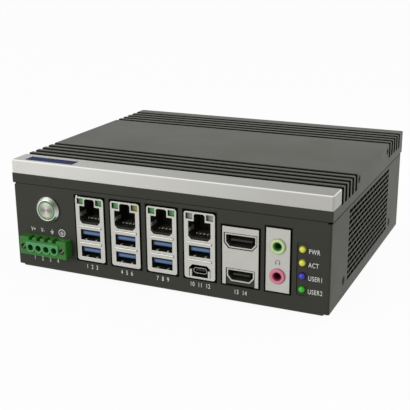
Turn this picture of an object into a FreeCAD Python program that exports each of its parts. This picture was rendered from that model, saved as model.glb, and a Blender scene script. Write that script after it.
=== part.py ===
import FreeCAD, Part
import Sketcher
import os
import re

# Fanless edge computer in millimetres: X to the right of its front, Y to its back, Z up.
# The origin is under the middle of the whole object, at the soles of the feet.

# Driving dimensions
SIZES = {
    # Finned cover and the bar along its front edge
    "cover_height": 13.6,
    "cover_edge_radius": 0.6,
    "groove_count": 5,
    "groove_width": 3.9,
    "groove_depth": 8.9,
    "fin_width": 2.7,
    "flat_depth": 75.0,
    "rear_rail": 8.6,
    "cover_rim": 11.0,
    "cavity_height": 2.4,
    "trim_depth": 13.8,
    "trim_height": 7.9,
    "trim_edge_radius": 0.9,
    "inlay_left": 7.7,
    "inlay_width": 31.5,
    "inlay_front": 2.3,
    "inlay_depth": 7.6,
    "inlay_thickness": 0.5,
    # Folded tray, side panels and what they stand on
    "tray_sheet": 1.5,
    "side_sheet": 1.2,
    "bend_radius": 0.6,
    "side_edge_radius": 1.0,
    "chassis_inset": 0.5,
    "bottom_inset": 4.0,
    "side_flange": 12.0,
    "seam_gap": 0.3,
    "sheet_gap": 0.15,
    "corner_notch_width": 2.0,
    "corner_notch_height": 0.9,
    "window_radius": 1.2,
    "vent_columns": 13,
    "vent_row_pairs": 6,
    "vent_length": 6.1,
    "vent_height": 1.85,
    "vent_bridge": 1.0,
    "vent_row_pitch": 3.1,
    "vent_rise": 1.9,
    "post_width": 12.0,
    "post_depth": 8.0,
    "post_front": 25.8,
    "post_stud_radius": 1.5,
    "post_stud_height": 2.0,
    "foot_height": 2.0,
    "foot_radius": 6.0,
    "foot_inset": 20.0,
    "foot_taper": 0.6,
    "bracket_width": 120.0,
    "bracket_depth": 90.0,
    "nut_bore_radius": 1.65,
    "nut_shank_radius": 2.6,
    "nut_head_radius": 3.8,
    "nut_head_height": 3.0,
    # Screws
    "screw_radius": 1.5,
    "screw_grip": 5.0,
    "pan_head_radius": 2.1,
    "pan_head_height": 1.0,
    "drive_length": 3.2,
    "drive_width": 0.7,
    "drive_depth": 0.6,
    "thread_gap": 0.05,
    "side_screw_rise": 9.3,
    "cover_screw_inset": 4.0,
    "cover_screw_drop": 3.8,
    "trim_screw_spacing": 70.0,
    # Mainboard and what it carries
    "board_lift": 8.5,
    "board_thickness": 1.6,
    "board_side_gap": 1.0,
    "board_post_gap": 0.3,
    "board_rear_gap": 6.0,
    "standoff_radius": 3.0,
    "standoff_inset": 14.0,
    "standoff_setback": 34.0,
    "package_size": 36.0,
    "package_height": 1.2,
    "lid_size": 28.0,
    "lid_height": 1.8,
    "pad_thickness": 1.0,
    "block_size": 32.0,
    "block_flange": 50.0,
    "block_flange_height": 4.0,
    "card_width": 22.0,
    "card_length": 80.0,
    "card_thickness": 0.9,
    "card_inset": 22.0,
    "chip_size": 14.0,
    "chip_height": 1.1,
    "chip_gap": 6.0,
    "socket_depth": 7.0,
    "socket_height": 4.4,
    "socket_reach": 4.0,
    "cell_radius": 10.0,
    "cell_height": 3.2,
    "cell_wall": 1.4,
    "cell_inset": 28.0,
    # Stacks of one network jack over two type-A ports
    "port_proud": 0.4,
    "port_gap": 0.7,
    "shell_sheet": 0.6,
    "insert_gap": 0.05,
    "stack_width": 17.9,
    "stack_height": 37.45,
    "stack_depth": 25.0,
    "stack_gap": 4.5,
    "stack_headroom": 3.55,
    "stack_corner_radius": 1.4,
    "lan_width": 13.0,
    "lan_height": 10.3,
    "lan_drop": 5.25,
    "lan_depth": 14.0,
    "lan_corner": 1.8,
    "lan_ledge": 1.1,
    "latch_width": 6.4,
    "latch_drop": 0.95,
    "latch_corner": 0.9,
    "lamp_width": 4.0,
    "lamp_height": 3.3,
    "lamp_inset": 1.0,
    "lamp_drop": 0.9,
    "lamp_recess": 1.0,
    "lamp_length": 2.0,
    "contact_width": 0.4,
    "contact_pitch": 1.1,
    "contact_length": 10.0,
    "contact_rise": 1.9,
    "type_a_width": 12.55,
    "type_a_height": 6.2,
    "type_a_depth": 12.0,
    "type_a_upper_drop": 18.85,
    "type_a_lower_drop": 28.95,
    "rib_width": 14.0,
    "rib_height": 1.3,
    "rib_proud": 0.5,
    "rib_radius": 0.4,
    "tongue_width": 11.2,
    "tongue_height": 2.3,
    "tongue_drop": 0.95,
    "tongue_setback": 1.0,
    "spring_width": 1.0,
    "spring_thickness": 0.35,
    "spring_length": 2.0,
    "spring_spacing": 6.4,
    "side_spring_height": 2.2,
    "side_spring_length": 6.0,
    "type_c_recess": 5.0,
    "type_c_floor": 1.1,
    "type_c_room": 6.85,
    "type_c_arch": 2.0,
    "type_c_rise": 4.5,
    "arch_tab_width": 1.2,
    "arch_tab_height": 3.9,
    "arch_tab_gap": 0.35,
    "arch_tab_setback": 0.1,
    "type_c_width": 8.0,
    "type_c_height": 3.3,
    "type_c_wall": 0.3,
    "type_c_setback": 0.8,
    "type_c_tongue_width": 6.2,
    "type_c_tongue_height": 0.9,
    # Two video sockets in one shell
    "video_gap": 4.2,
    "video_width": 20.2,
    "video_height": 32.0,
    "video_depth": 18.0,
    "upper_rim_drop": 3.75,
    "upper_rim_width": 17.7,
    "upper_rim_height": 7.8,
    "lower_rim_drop": 23.25,
    "lower_rim_width": 15.4,
    "lower_rim_height": 6.9,
    "rim_wall": 0.7,
    "rim_setback": 0.35,
    "rim_gap": 0.45,
    "rim_chamfer_width": 2.5,
    "rim_chamfer_height": 2.8,
    "socket_cavity": 9.0,
    "socket_wall": 0.9,
    "blade_inset": 2.2,
    "blade_height": 1.0,
    "blade_setback": 2.0,
    # Two round jacks behind one plate
    "audio_gap": 4.05,
    "audio_width": 12.85,
    "audio_height": 34.4,
    "audio_sheet": 0.8,
    "jack_body_depth": 14.0,
    "upper_jack_drop": 9.5,
    "jack_pitch": 16.25,
    "jack_rim_radius": 4.2,
    "jack_rim_proud": 1.1,
    "jack_sleeve_radius": 3.1,
    "jack_bore_radius": 1.8,
    "jack_funnel": 0.9,
    # Row of round lamps in a recessed strip
    "led_gap": 3.55,
    "led_slot_width": 6.0,
    "led_slot_height": 28.6,
    "led_recess": 0.4,
    "led_holder_depth": 9.0,
    "led_radius": 2.0,
    "led_rise": 3.45,
    "led_pitch": 7.2,
    "led_proud": 1.5,
    "led_length": 7.0,
    "right_margin": 12.1,
    # Wired plug on the left
    "plug_left": 6.3,
    "plug_gap": 4.35,
    "plug_reach": 6.9,
    "plug_height": 10.5,
    "plug_rise": 0.5,
    "plug_end": 7.7,
    "plug_edge_radius": 0.4,
    "way_pitch": 5.3,
    "way_rise": 4.7,
    "way_radius": 1.85,
    "way_depth": 6.5,
    "face_proud": 0.7,
    "face_lobe_radius": 2.85,
    "face_top_drop": 2.4,
    "plug_slot_width": 2.6,
    "plug_slot_depth": 1.6,
    "plug_slot_length": 5.2,
    "clamp_screw_radius": 1.2,
    "clamp_screw_height": 1.5,
    "plug_tail_inset": 4.8,
    "plug_tail_margin": 1.2,
    "plug_tail_length": 4.0,
    "flange_screw_inset": 2.7,
    "flange_screw_radius": 1.2,
    "flange_head_radius": 1.65,
    "flange_head_height": 1.2,
    "flange_head_recess": 1.8,
    "header_depth": 11.0,
    "header_height": 11.0,
    # Round push button above the plug
    "button_left": 23.4,
    "button_drop": 13.7,
    "bezel_radius": 7.5,
    "bezel_proud": 2.6,
    "bezel_rim": 0.9,
    "barrel_radius": 6.5,
    "barrel_depth": 18.0,
    "barrel_floor": 2.0,
    "bore_radius": 5.8,
    "lip_radius": 5.45,
    "lip_depth": 1.2,
    "lip_sink": 0.4,
    "light_ring_radius": 5.3,
    "cap_radius": 4.3,
    "cap_sink": 0.25,
    "cap_chamfer": 0.25,
    "cap_flange_gap": 0.1,
    "cap_flange_radius": 5.6,
    "cap_flange_height": 1.5,
    "cap_stem_radius": 2.0,
    "cap_stem_length": 6.0,
    "lock_nut_radius": 8.8,
    "lock_nut_height": 2.5,
}

# Places and sizes that follow from the driving dimensions
PLACES = {
    "plug_width": "3 * way_pitch + 2 * plug_end",
    "stack_pitch": "stack_width + stack_gap",
    "stack_start": "plug_left + plug_width + plug_gap",
    "video_start": "stack_start + 3 * stack_pitch + stack_width + video_gap",
    "audio_start": "video_start + video_width + audio_gap",
    "led_start": "audio_start + audio_width + led_gap",
    "case_width": "led_start + led_slot_width + right_margin",
    "half_width": "case_width / 2",
    "field_depth": "groove_count * groove_width + (groove_count - 1) * fin_width",
    "case_depth": "trim_depth + 2 * field_depth + flat_depth + rear_rail",
    "front": "(plug_reach - case_depth) / 2",
    "sill": "foot_height + tray_sheet",
    "board_top": "sill + board_lift",
    "seam_level": "board_top + stack_height + stack_headroom",
    "top_level": "seam_level + cover_height",
    "wall_height": "seam_level - seam_gap - sill",
    "wall_outside": "half_width - chassis_inset",
    "wall_inside": "wall_outside - side_sheet",
    "wall_front": "tray_sheet + sheet_gap",
    "floor_half": "half_width - bottom_inset",
    "post_inside": "wall_inside - thread_gap - post_width",
    "stud_across": "wall_inside - thread_gap - post_depth / 2",
    "tie_across": "post_inside + post_depth / 2",
    "post_rear": "case_depth - post_front",
    "post_foot": "sill + side_sheet",
    "screw_hole": "screw_radius + thread_gap",
    "flat_head_height": "side_sheet - 2 * thread_gap",
    "flat_head_radius": "screw_radius + flat_head_height",
    "board_half": "wall_inside - board_side_gap",
    "board_front": "tray_sheet + bend_radius + sheet_gap",
    "board_depth": "case_depth - board_front - tray_sheet - board_rear_gap",
    "board_middle": "(stack_depth + case_depth) / 2",
    "standoff_height": "board_lift - board_thickness",
    "standoff_across": "board_half - standoff_inset",
    "standoff_rear": "board_front + board_depth - standoff_radius - board_rear_gap",
    "insert_width": "stack_width - 2 * (shell_sheet + insert_gap)",
    "insert_front": "shell_sheet + insert_gap",
    "lan_left": "(stack_width - lan_width) / 2",
    "lan_floor": "stack_height - lan_drop - lan_height",
    "type_a_left": "(stack_width - type_a_width) / 2",
    "upper_floor": "stack_height - type_a_upper_drop - type_a_height",
    "lower_floor": "stack_height - type_a_lower_drop - type_a_height",
    "tail_width": "plug_width - 2 * plug_tail_inset",
    "tail_height": "plug_height - 2 * plug_tail_margin",
    "block_reach": "plug_reach - face_proud",
    "button_level": "seam_level - button_drop",
}

doc = FreeCAD.newDocument("edge_computer")
nodes = []


# Sheets and formulas

def linked(formula, home=None):
    """A formula with each size or place in it pointed at its cell."""
    def cell(match):
        word = match.group()
        if word in SIZES:
            return f"Sizes.{word}"
        if word in PLACES and home != "Places":
            return f"Places.{word}"
        return word
    return re.sub(r"[a-z_]\w*", cell, str(formula))


def fill_sheet(name, rows):
    """A sheet with one aliased row for each value."""
    sheet = doc.addObject("Spreadsheet::Sheet", name)
    for row, (alias, content) in enumerate(rows.items(), 1):
        sheet.set(f"A{row}", alias)
        sheet.set(f"B{row}", content)
        sheet.setAlias(f"B{row}", alias)
    doc.recompute()
    return sheet


sizes = fill_sheet("Sizes", {alias: str(size) for alias, size in SIZES.items()})
fill_sheet("Places", {alias: f"={linked(formula, 'Places')}" for alias, formula in PLACES.items()})


def amount(formula):
    """The present value of a formula."""
    return float(sizes.evalExpression(linked(formula)))


def bind(part, **formulas):
    """Tie properties of an object to formulas."""
    for name, formula in formulas.items():
        part.setExpression(name, linked(formula))
    return part


def place(part, x, y, z):
    """Tie an object's position to formulas."""
    for axis, formula in zip("xyz", (x, y, z)):
        part.setExpression(f"Placement.Base.{axis}", linked(formula))
    return part


def node(part, label):
    """Name a finished sub-part."""
    part.Label = label
    nodes.append(part)
    return part


# Solids from primitives

def turned_to(part, direction):
    """Point a primitive's own Z along a direction."""
    up = FreeCAD.Vector(0, 0, 1)
    part.Placement.Rotation = FreeCAD.Rotation(up, FreeCAD.Vector(*direction))
    return part


UP = (0, 0, 1)
DOWN = (0, 0, -1)
INTO = (0, 1, 0)
RIGHTWARD = (1, 0, 0)
LEFTWARD = (-1, 0, 0)


def box(name, corner, size):
    solid = doc.addObject("Part::Box", name)
    bind(solid, Length=size[0], Width=size[1], Height=size[2])
    return place(solid, *corner)


def cylinder(name, base, radius, height, direction=UP):
    solid = turned_to(doc.addObject("Part::Cylinder", name), direction)
    bind(solid, Radius=radius, Height=height)
    return place(solid, *base)


def cone(name, base, radius, end_radius, height, direction=UP):
    solid = turned_to(doc.addObject("Part::Cone", name), direction)
    bind(solid, Radius1=radius, Radius2=end_radius, Height=height)
    return place(solid, *base)


def hexagon(name, base, radius, height, direction=UP):
    solid = turned_to(doc.addObject("Part::Prism", name), direction)
    solid.Polygon = 6
    bind(solid, Circumradius=radius, Height=height)
    return place(solid, *base)


def fused(name, shapes):
    union = doc.addObject("Part::MultiFuse", name)
    union.Shapes = shapes
    return union


def group(name, members):
    bundle = doc.addObject("Part::Compound", name)
    bundle.Links = members
    return bundle


def cut(name, base, tools):
    difference = doc.addObject("Part::Cut", name)
    difference.Base = base
    difference.Tool = tools[0] if len(tools) == 1 else group(f"{name}_tools", tools)
    return difference


# Sketched bodies

def new_body(name):
    return doc.addObject("PartDesign::Body", name)


def origin(body, role):
    return next(part for part in body.Origin.OriginFeatures if part.Role == role)


def sketch_on(body, plane, name, offset="0"):
    """A sketch on a plane of the body's origin, moved along its normal by a formula."""
    sketch = body.newObject("Sketcher::SketchObject", f"{body.Name}_{name}")
    sketch.AttachmentSupport = (origin(body, plane), [""])
    sketch.MapMode = "FlatFace"
    sketch.setExpression("AttachmentOffset.Base.z", linked(offset))
    return sketch


def pin_points(sketch, pins):
    """Tie points of a sketch, given as geometry, point and two formulas, to the sketch's origin."""
    formulas = []
    constraints = []
    for geometry, point, across, along in pins:
        for kind, formula in (("DistanceX", across), ("DistanceY", along)):
            formulas.append(formula)
            constraints.append(Sketcher.Constraint(kind, -1, 1, geometry, point, amount(formula)))
    first = sketch.ConstraintCount
    sketch.addConstraint(constraints)
    for index, formula in enumerate(formulas, first):
        sketch.setExpression(f"Constraints[{index}]", linked(formula))


def outline(sketch, corners):
    """A closed outline of straight lines through corners given as pairs of formulas."""
    points = [FreeCAD.Vector(amount(across), amount(along), 0) for across, along in corners]
    ends = zip(points, points[1:] + points[:1])
    lines = sketch.addGeometry([Part.LineSegment(start, end) for start, end in ends])
    sketch.addConstraint([
        Sketcher.Constraint("Coincident", line, 2, following, 1)
        for line, following in zip(lines, lines[1:] + lines[:1])
    ])
    pin_points(sketch, [(line, 1, across, along) for line, (across, along) in zip(lines, corners)])


def rectangle(sketch, across, along, width, height):
    far = f"{across} + {width}"
    high = f"{along} + {height}"
    outline(sketch, [(across, along), (far, along), (far, high), (across, high)])


def circle(sketch, across, along, radius):
    centre = FreeCAD.Vector(amount(across), amount(along), 0)
    ring = sketch.addGeometry(Part.Circle(centre, FreeCAD.Vector(0, 0, 1), amount(radius)))
    pin_points(sketch, [(ring, 3, across, along)])
    index = sketch.addConstraint(Sketcher.Constraint("Radius", ring, amount(radius)))
    sketch.setExpression(f"Constraints[{index}]", linked(radius))


def pad(body, sketch, length, backwards=False):
    """Extrude along the sketch's normal, or against it."""
    feature = body.newObject("PartDesign::Pad", f"{sketch.Name}_pad")
    feature.Profile = sketch
    feature.Reversed = backwards
    return bind(feature, Length=length)


def pocket(body, sketch, depth, along_normal=False):
    """Cut against the sketch's normal, or along it."""
    feature = body.newObject("PartDesign::Pocket", f"{sketch.Name}_pocket")
    feature.Profile = sketch
    feature.Reversed = along_normal
    return bind(feature, Length=depth)


def revolve(body, sketch):
    """Turn a sketch once round its own horizontal axis."""
    feature = body.newObject("PartDesign::Revolution", f"{sketch.Name}_turned")
    feature.Profile = sketch
    feature.ReferenceAxis = (sketch, ["H_Axis"])
    return feature


def rounded(body, radius, chosen, kind="PartDesign::Fillet"):
    """Round the edges of the body's last feature that a test chooses."""
    doc.recompute()
    last = body.Tip
    names = [f"Edge{count}" for count, edge in enumerate(last.Shape.Edges, 1) if chosen(edge)]
    feature = body.newObject(kind, f"{last.Name}_round")
    feature.Base = (last, names)
    return bind(feature, **{"Radius" if kind.endswith("Fillet") else "Size": radius})


def chamfered(body, size, chosen):
    return rounded(body, size, chosen, "PartDesign::Chamfer")


def linear_pattern(body, feature, first, second=None):
    """Repeat a feature along one or two axes, each given as role, number and pitch."""
    pattern = body.newObject("PartDesign::LinearPattern", f"{feature.Name}_row")
    pattern.Originals = [feature]
    for suffix, run in zip(("", "2"), (first, second)):
        if run:
            role, number, pitch = run
            setattr(pattern, f"Direction{suffix}", (origin(body, role), [""]))
            pattern.setExpression(f"Occurrences{suffix}", linked(number))
            pattern.setExpression(f"Length{suffix}", linked(f"({number} - 1) * ({pitch})"))
    body.Tip = pattern
    return pattern


def mirrored(body, features, plane):
    """Repeat features on the other side of a plane of the body's origin."""
    feature = body.newObject("PartDesign::Mirrored", f"{features[-1].Name}_mirror")
    feature.Originals = features
    feature.MirrorPlane = (origin(body, plane), [""])
    body.Tip = feature
    return feature


def lies(edge, **wanted):
    """True if both ends of an edge have the wanted coordinates, given as formulas."""
    return all(
        abs(getattr(vertex.Point, axis) - amount(formula)) < 0.001
        for axis, formula in wanted.items()
        for vertex in edge.Vertexes
    )


def runs_along(edge, axis):
    """True for a straight edge parallel to an axis."""
    ends = edge.Vertexes
    if len(ends) != 2:
        return False
    span = ends[1].Point - ends[0].Point
    others = [abs(getattr(span, name)) for name in "xyz" if name != axis]
    return max(others) < 0.001 and edge.Curve.TypeId == "Part::GeomLine"


def is_ring(edge, radius):
    """True for a full circle of a radius."""
    whole = len(edge.Vertexes) == 1 and edge.Curve.TypeId == "Part::GeomCircle"
    return whole and abs(edge.Curve.Radius - amount(radius)) < 0.001


# Screws, each modelled at the origin with its shank along its own Z

def cross_drive(name):
    """A cross-shaped recess that opens at the origin's level."""
    bars = [
        box(f"{name}_drive_a", ("-drive_length / 2", "-drive_width / 2", "0"),
            ("drive_length", "drive_width", "drive_depth")),
        box(f"{name}_drive_b", ("-drive_width / 2", "-drive_length / 2", "0"),
            ("drive_width", "drive_length", "drive_depth")),
    ]
    return fused(f"{name}_drive", bars)


def flat_screw(name, base, direction, grip):
    """A countersunk screw whose head lies flush at its base point."""
    head = cone(f"{name}_head", ("0", "0", "0"), "flat_head_radius", "screw_radius", "flat_head_height")
    shank = cylinder(f"{name}_shank", ("0", "0", "0"), "screw_radius", grip)
    solid = cut(name, fused(f"{name}_blank", [head, shank]), [cross_drive(name)])
    return place(turned_to(solid, direction), *base)


def pan_screw(name, base, direction, grip):
    """A cylinder-headed screw with its head's outer face at its base point."""
    head = cylinder(f"{name}_head", ("0", "0", "0"), "pan_head_radius", "pan_head_height")
    shank = cylinder(f"{name}_shank", ("0", "0", "0"), "screw_radius", f"pan_head_height + {grip}")
    solid = cut(name, fused(f"{name}_blank", [head, shank]), [cross_drive(name)])
    return place(turned_to(solid, direction), *base)


CORNERS = [
    (side, end)
    for side in ("-", "")
    for end in ("post_front", "post_rear")
]


# Case

def heatsink_cover():
    body = new_body("cover")
    section = sketch_on(body, "YZ_Plane", "section", "-half_width")
    step = "cover_height - trim_height"
    outline(section, [
        ("0", "0"), ("case_depth", "0"), ("case_depth", "cover_height"),
        ("trim_depth", "cover_height"), ("trim_depth", step), ("0", step),
    ])
    pad(body, section, "case_width")
    rounded(body, "cover_edge_radius", lambda edge: runs_along(edge, "y") and lies(edge, z="cover_height"))

    cavity = sketch_on(body, "XY_Plane", "cavity")
    rectangle(cavity, "cover_rim - half_width", "cover_rim",
              "case_width - 2 * cover_rim", "case_depth - 2 * cover_rim")
    pocket(body, cavity, "cavity_height", along_normal=True)

    studs = sketch_on(body, "XY_Plane", "stud_holes")
    for side, end in CORNERS:
        circle(studs, f"{side}stud_across", end, "post_stud_radius + thread_gap")
    pocket(body, studs, "post_stud_height + seam_gap", along_normal=True)

    heads = sketch_on(body, "XY_Plane", "trim_heads")
    shanks = sketch_on(body, "XY_Plane", "trim_shanks")
    for column in (-1, 0, 1):
        circle(heads, f"{column} * trim_screw_spacing", "trim_depth / 2", "pan_head_radius + sheet_gap")
        circle(shanks, f"{column} * trim_screw_spacing", "trim_depth / 2", "screw_hole")
    pocket(body, heads, "pan_head_height", along_normal=True)
    pocket(body, shanks, step, along_normal=True)

    floor = "cover_height - groove_depth"
    pitch = "groove_width + fin_width"
    starts = {"front_groove": "trim_depth", "rear_groove": "case_depth - rear_rail - field_depth"}
    for name, start in starts.items():
        groove = sketch_on(body, "YZ_Plane", name, "-half_width")
        rectangle(groove, start, floor, "groove_width", "groove_depth")
        channel = pocket(body, groove, "case_width", along_normal=True)
        linear_pattern(body, channel, ("Y_Axis", "groove_count", pitch))

    level = "cover_height - cover_screw_drop"
    near = "trim_depth + field_depth + cover_screw_inset"
    far = "case_depth - rear_rail - field_depth - cover_screw_inset"
    recess = sketch_on(body, "YZ_Plane", "screw_recess", "half_width")
    threads = sketch_on(body, "YZ_Plane", "screw_threads", "half_width")
    for across in (near, far):
        circle(recess, across, level, "pan_head_radius + sheet_gap")
        circle(threads, across, level, "screw_hole")
    sunk = pocket(body, recess, "pan_head_height")
    bored = pocket(body, threads, "pan_head_height + screw_grip")
    mirrored(body, [sunk, bored], "YZ_Plane")
    node(place(body, "0", "front", "seam_level"), "heatsink_cover")

    screws = [
        pan_screw(f"cover_screw_{side}_{count}",
                  (f"{sign}half_width", f"front + {across}", f"seam_level + {level}"),
                  direction, "screw_grip")
        for side, sign, direction in (("left", "-", RIGHTWARD), ("right", "", LEFTWARD))
        for count, across in enumerate((near, far))
    ]
    node(group("cover_screws", screws), "heatsink_side_screws")


def trim_bar():
    body = new_body("trim")
    section = sketch_on(body, "YZ_Plane", "section", "-half_width")
    rectangle(section, "0", "0", "trim_depth", "trim_height")
    pad(body, section, "case_width")

    def outer(edge):
        if runs_along(edge, "x"):
            return lies(edge, y="0", z="trim_height")
        if runs_along(edge, "z"):
            return lies(edge, y="0")
        return lies(edge, z="trim_height")

    rounded(body, "trim_edge_radius", outer)
    recess = sketch_on(body, "XY_Plane", "inlay_recess", "trim_height")
    rectangle(recess, "inlay_left - half_width", "inlay_front", "inlay_width", "inlay_depth")
    pocket(body, recess, "inlay_thickness")
    holes = sketch_on(body, "XY_Plane", "screw_holes")
    for column in (-1, 0, 1):
        circle(holes, f"{column} * trim_screw_spacing", "trim_depth / 2", "screw_hole")
    pocket(body, holes, "screw_grip", along_normal=True)
    node(place(body, "0", "front", "top_level - trim_height"), "trim_bar")

    inlay = box("inlay", ("inlay_left - half_width + thread_gap", "front + inlay_front + thread_gap",
                          "top_level - inlay_thickness"),
                ("inlay_width - 2 * thread_gap", "inlay_depth - 2 * thread_gap",
                 "inlay_thickness - thread_gap"))
    node(inlay, "trim_bar_inlay")

    reach = "cover_height - trim_height - pan_head_height + screw_grip - sheet_gap"
    screws = [
        pan_screw(f"trim_screw_{count}",
                  (f"{column} * trim_screw_spacing", "front + trim_depth / 2", "seam_level"), UP, reach)
        for count, column in enumerate((-1, 0, 1))
    ]
    node(group("trim_screws", screws), "trim_bar_screws")


def chassis_tray():
    body = new_body("tray")
    high = "tray_sheet + wall_height"
    rear = "case_depth - tray_sheet"
    section = sketch_on(body, "YZ_Plane", "section", "-wall_outside")
    outline(section, [
        ("0", "0"), ("case_depth", "0"), ("case_depth", high), (rear, high),
        (rear, "tray_sheet"), ("tray_sheet", "tray_sheet"), ("tray_sheet", high), ("0", high),
    ])
    pad(body, section, "2 * wall_outside")
    rounded(body, "bend_radius + tray_sheet", lambda edge: runs_along(edge, "x") and lies(edge, z="0"))
    rounded(body, "bend_radius", lambda edge: runs_along(edge, "x") and lies(edge, z="tray_sheet"))

    def wall_end(edge):
        return runs_along(edge, "z") and (lies(edge, y="0") or lies(edge, y="case_depth"))

    rounded(body, "side_edge_radius", wall_end)

    # The fold is narrower than the walls, which leaves a step at the bottom corners
    relief = sketch_on(body, "XY_Plane", "fold_relief")
    seats = sketch_on(body, "XY_Plane", "side_seats")
    spare = "wall_outside + sheet_gap - floor_half"
    for start in ("floor_half", "-wall_outside - sheet_gap"):
        rectangle(relief, start, "-sheet_gap", spare, "case_depth + 2 * sheet_gap")
        rectangle(seats, start, "tray_sheet", spare, "case_depth - 2 * tray_sheet")
    pocket(body, relief, "tray_sheet", along_normal=True)
    pocket(body, seats, "tray_sheet + bend_radius", along_normal=True)

    notches = sketch_on(body, "XZ_Plane", "corner_notches")
    for start in ("-wall_outside", "wall_outside - corner_notch_width"):
        rectangle(notches, start, f"{high} - corner_notch_height",
                  "corner_notch_width", "corner_notch_height")
    pocket(body, notches, "tray_sheet")

    # Cut-outs for the row of ports, each a gap wider than what passes through it
    level = "board_top - foot_height"
    ports = [(f"stack_start + {count} * stack_pitch", "stack_width", "stack_height") for count in range(4)]
    ports.append(("video_start", "video_width", "video_height"))
    ports.append(("audio_start", "audio_width", "audio_height"))
    windows = sketch_on(body, "XZ_Plane", "port_windows")
    for start, width, height in ports:
        rectangle(windows, f"{start} - half_width - port_gap", f"{level} - port_gap",
                  f"{width} + 2 * port_gap", f"{height} + 2 * port_gap")
    rectangle(windows, "led_start - half_width", f"{level} - sheet_gap", "led_slot_width", "led_slot_height")
    pocket(body, windows, "tray_sheet")

    beside_notch = amount("wall_outside - corner_notch_width - sheet_gap")
    above_fold = amount("2 * tray_sheet")

    def window_corner(edge):
        across, height = edge.Vertexes[0].X, edge.Vertexes[0].Z
        return runs_along(edge, "y") and abs(across) < beside_notch and height > above_fold

    rounded(body, "window_radius", window_corner)

    plug_level = "board_top + plug_rise - foot_height"
    panel_holes = sketch_on(body, "XZ_Plane", "panel_holes")
    circle(panel_holes, "button_left - half_width", "button_level - foot_height", "barrel_radius + sheet_gap")
    rectangle(panel_holes, "plug_left + plug_tail_inset - sheet_gap - half_width",
              f"{plug_level} + plug_tail_margin - sheet_gap",
              "tail_width + 2 * sheet_gap", "tail_height + 2 * sheet_gap")
    for start in ("plug_left + flange_screw_inset", "plug_left + plug_width - flange_screw_inset"):
        circle(panel_holes, f"{start} - half_width", f"{plug_level} + way_rise",
               "flange_screw_radius + thread_gap")
    pocket(body, panel_holes, "tray_sheet")

    floor_holes = sketch_on(body, "XY_Plane", "nut_holes")
    for across, along in bracket_corners():
        circle(floor_holes, across, along, "nut_shank_radius + thread_gap")
    pocket(body, floor_holes, "tray_sheet", along_normal=True)

    screw_holes = sketch_on(body, "XY_Plane", "screw_holes")
    for side, end in CORNERS:
        circle(screw_holes, f"{side}tie_across", end, "screw_hole")
    pocket(body, screw_holes, "tray_sheet", along_normal=True)
    chamfered(body, "flat_head_height", lambda edge: is_ring(edge, "screw_hole") and lies(edge, z="0"))
    node(place(body, "0", "front", "foot_height"), "chassis_tray")


def bracket_corners():
    """Centres of the wall bracket's nuts, across the case and back from its front."""
    return [
        (f"{side}bracket_width / 2", f"case_depth / 2 {end} bracket_depth / 2")
        for side in ("-", "")
        for end in ("-", "+")
    ]


def side_panel(label, sign):
    """A vented sheet with a flange along its foot; sign is 1 for the right side, -1 for the left."""
    is_right = sign > 0
    body = new_body(f"{label}_body")
    wall = sketch_on(body, "YZ_Plane", "wall")
    rectangle(wall, "wall_front", "0", "case_depth - 2 * wall_front", "wall_height")
    pad(body, wall, "side_sheet", backwards=is_right)
    flange = sketch_on(body, "XY_Plane", "flange")
    clear = "board_front + sheet_gap"
    rectangle(flange, "0", clear, f"{-sign} * side_flange", f"case_depth - 2 * ({clear})")
    pad(body, flange, "side_sheet")

    # Staggered rows of slots, a little above the middle of the wall
    pitch = "(vent_length + vent_bridge)"
    rows = {
        "even_vents": ("vent_columns", "vent_row_pairs + 1", "vent_row_pairs"),
        "odd_vents": ("vent_columns - 1", "vent_row_pairs", "vent_row_pairs - 1"),
    }
    for name, (columns, row_count, row_steps) in rows.items():
        slot = sketch_on(body, "YZ_Plane", name)
        across = f"case_depth / 2 - vent_length / 2 - ({columns} - 1) * {pitch} / 2"
        along = f"wall_height / 2 + vent_rise - vent_height / 2 - ({row_steps}) * vent_row_pitch"
        rectangle(slot, across, along, "vent_length", "vent_height")
        first = pocket(body, slot, "side_sheet", along_normal=not is_right)
        linear_pattern(body, first, ("Y_Axis", f"({columns})", pitch),
                       ("Z_Axis", f"({row_count})", "2 * vent_row_pitch"))

    holes = sketch_on(body, "YZ_Plane", "screw_holes")
    for end in ("post_front", "post_rear"):
        circle(holes, end, "side_screw_rise", "screw_hole")
    pocket(body, holes, "side_sheet", along_normal=not is_right)
    chamfered(body, "flat_head_height", lambda edge: is_ring(edge, "screw_hole") and lies(edge, x="0"))
    ties = sketch_on(body, "XY_Plane", "tie_holes")
    for end in ("post_front", "post_rear"):
        circle(ties, f"{sign} * (tie_across - wall_outside)", end, "screw_hole")
    pocket(body, ties, "side_sheet", along_normal=True)
    node(place(body, f"{sign} * wall_outside", "front", "sill"), label)


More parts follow.
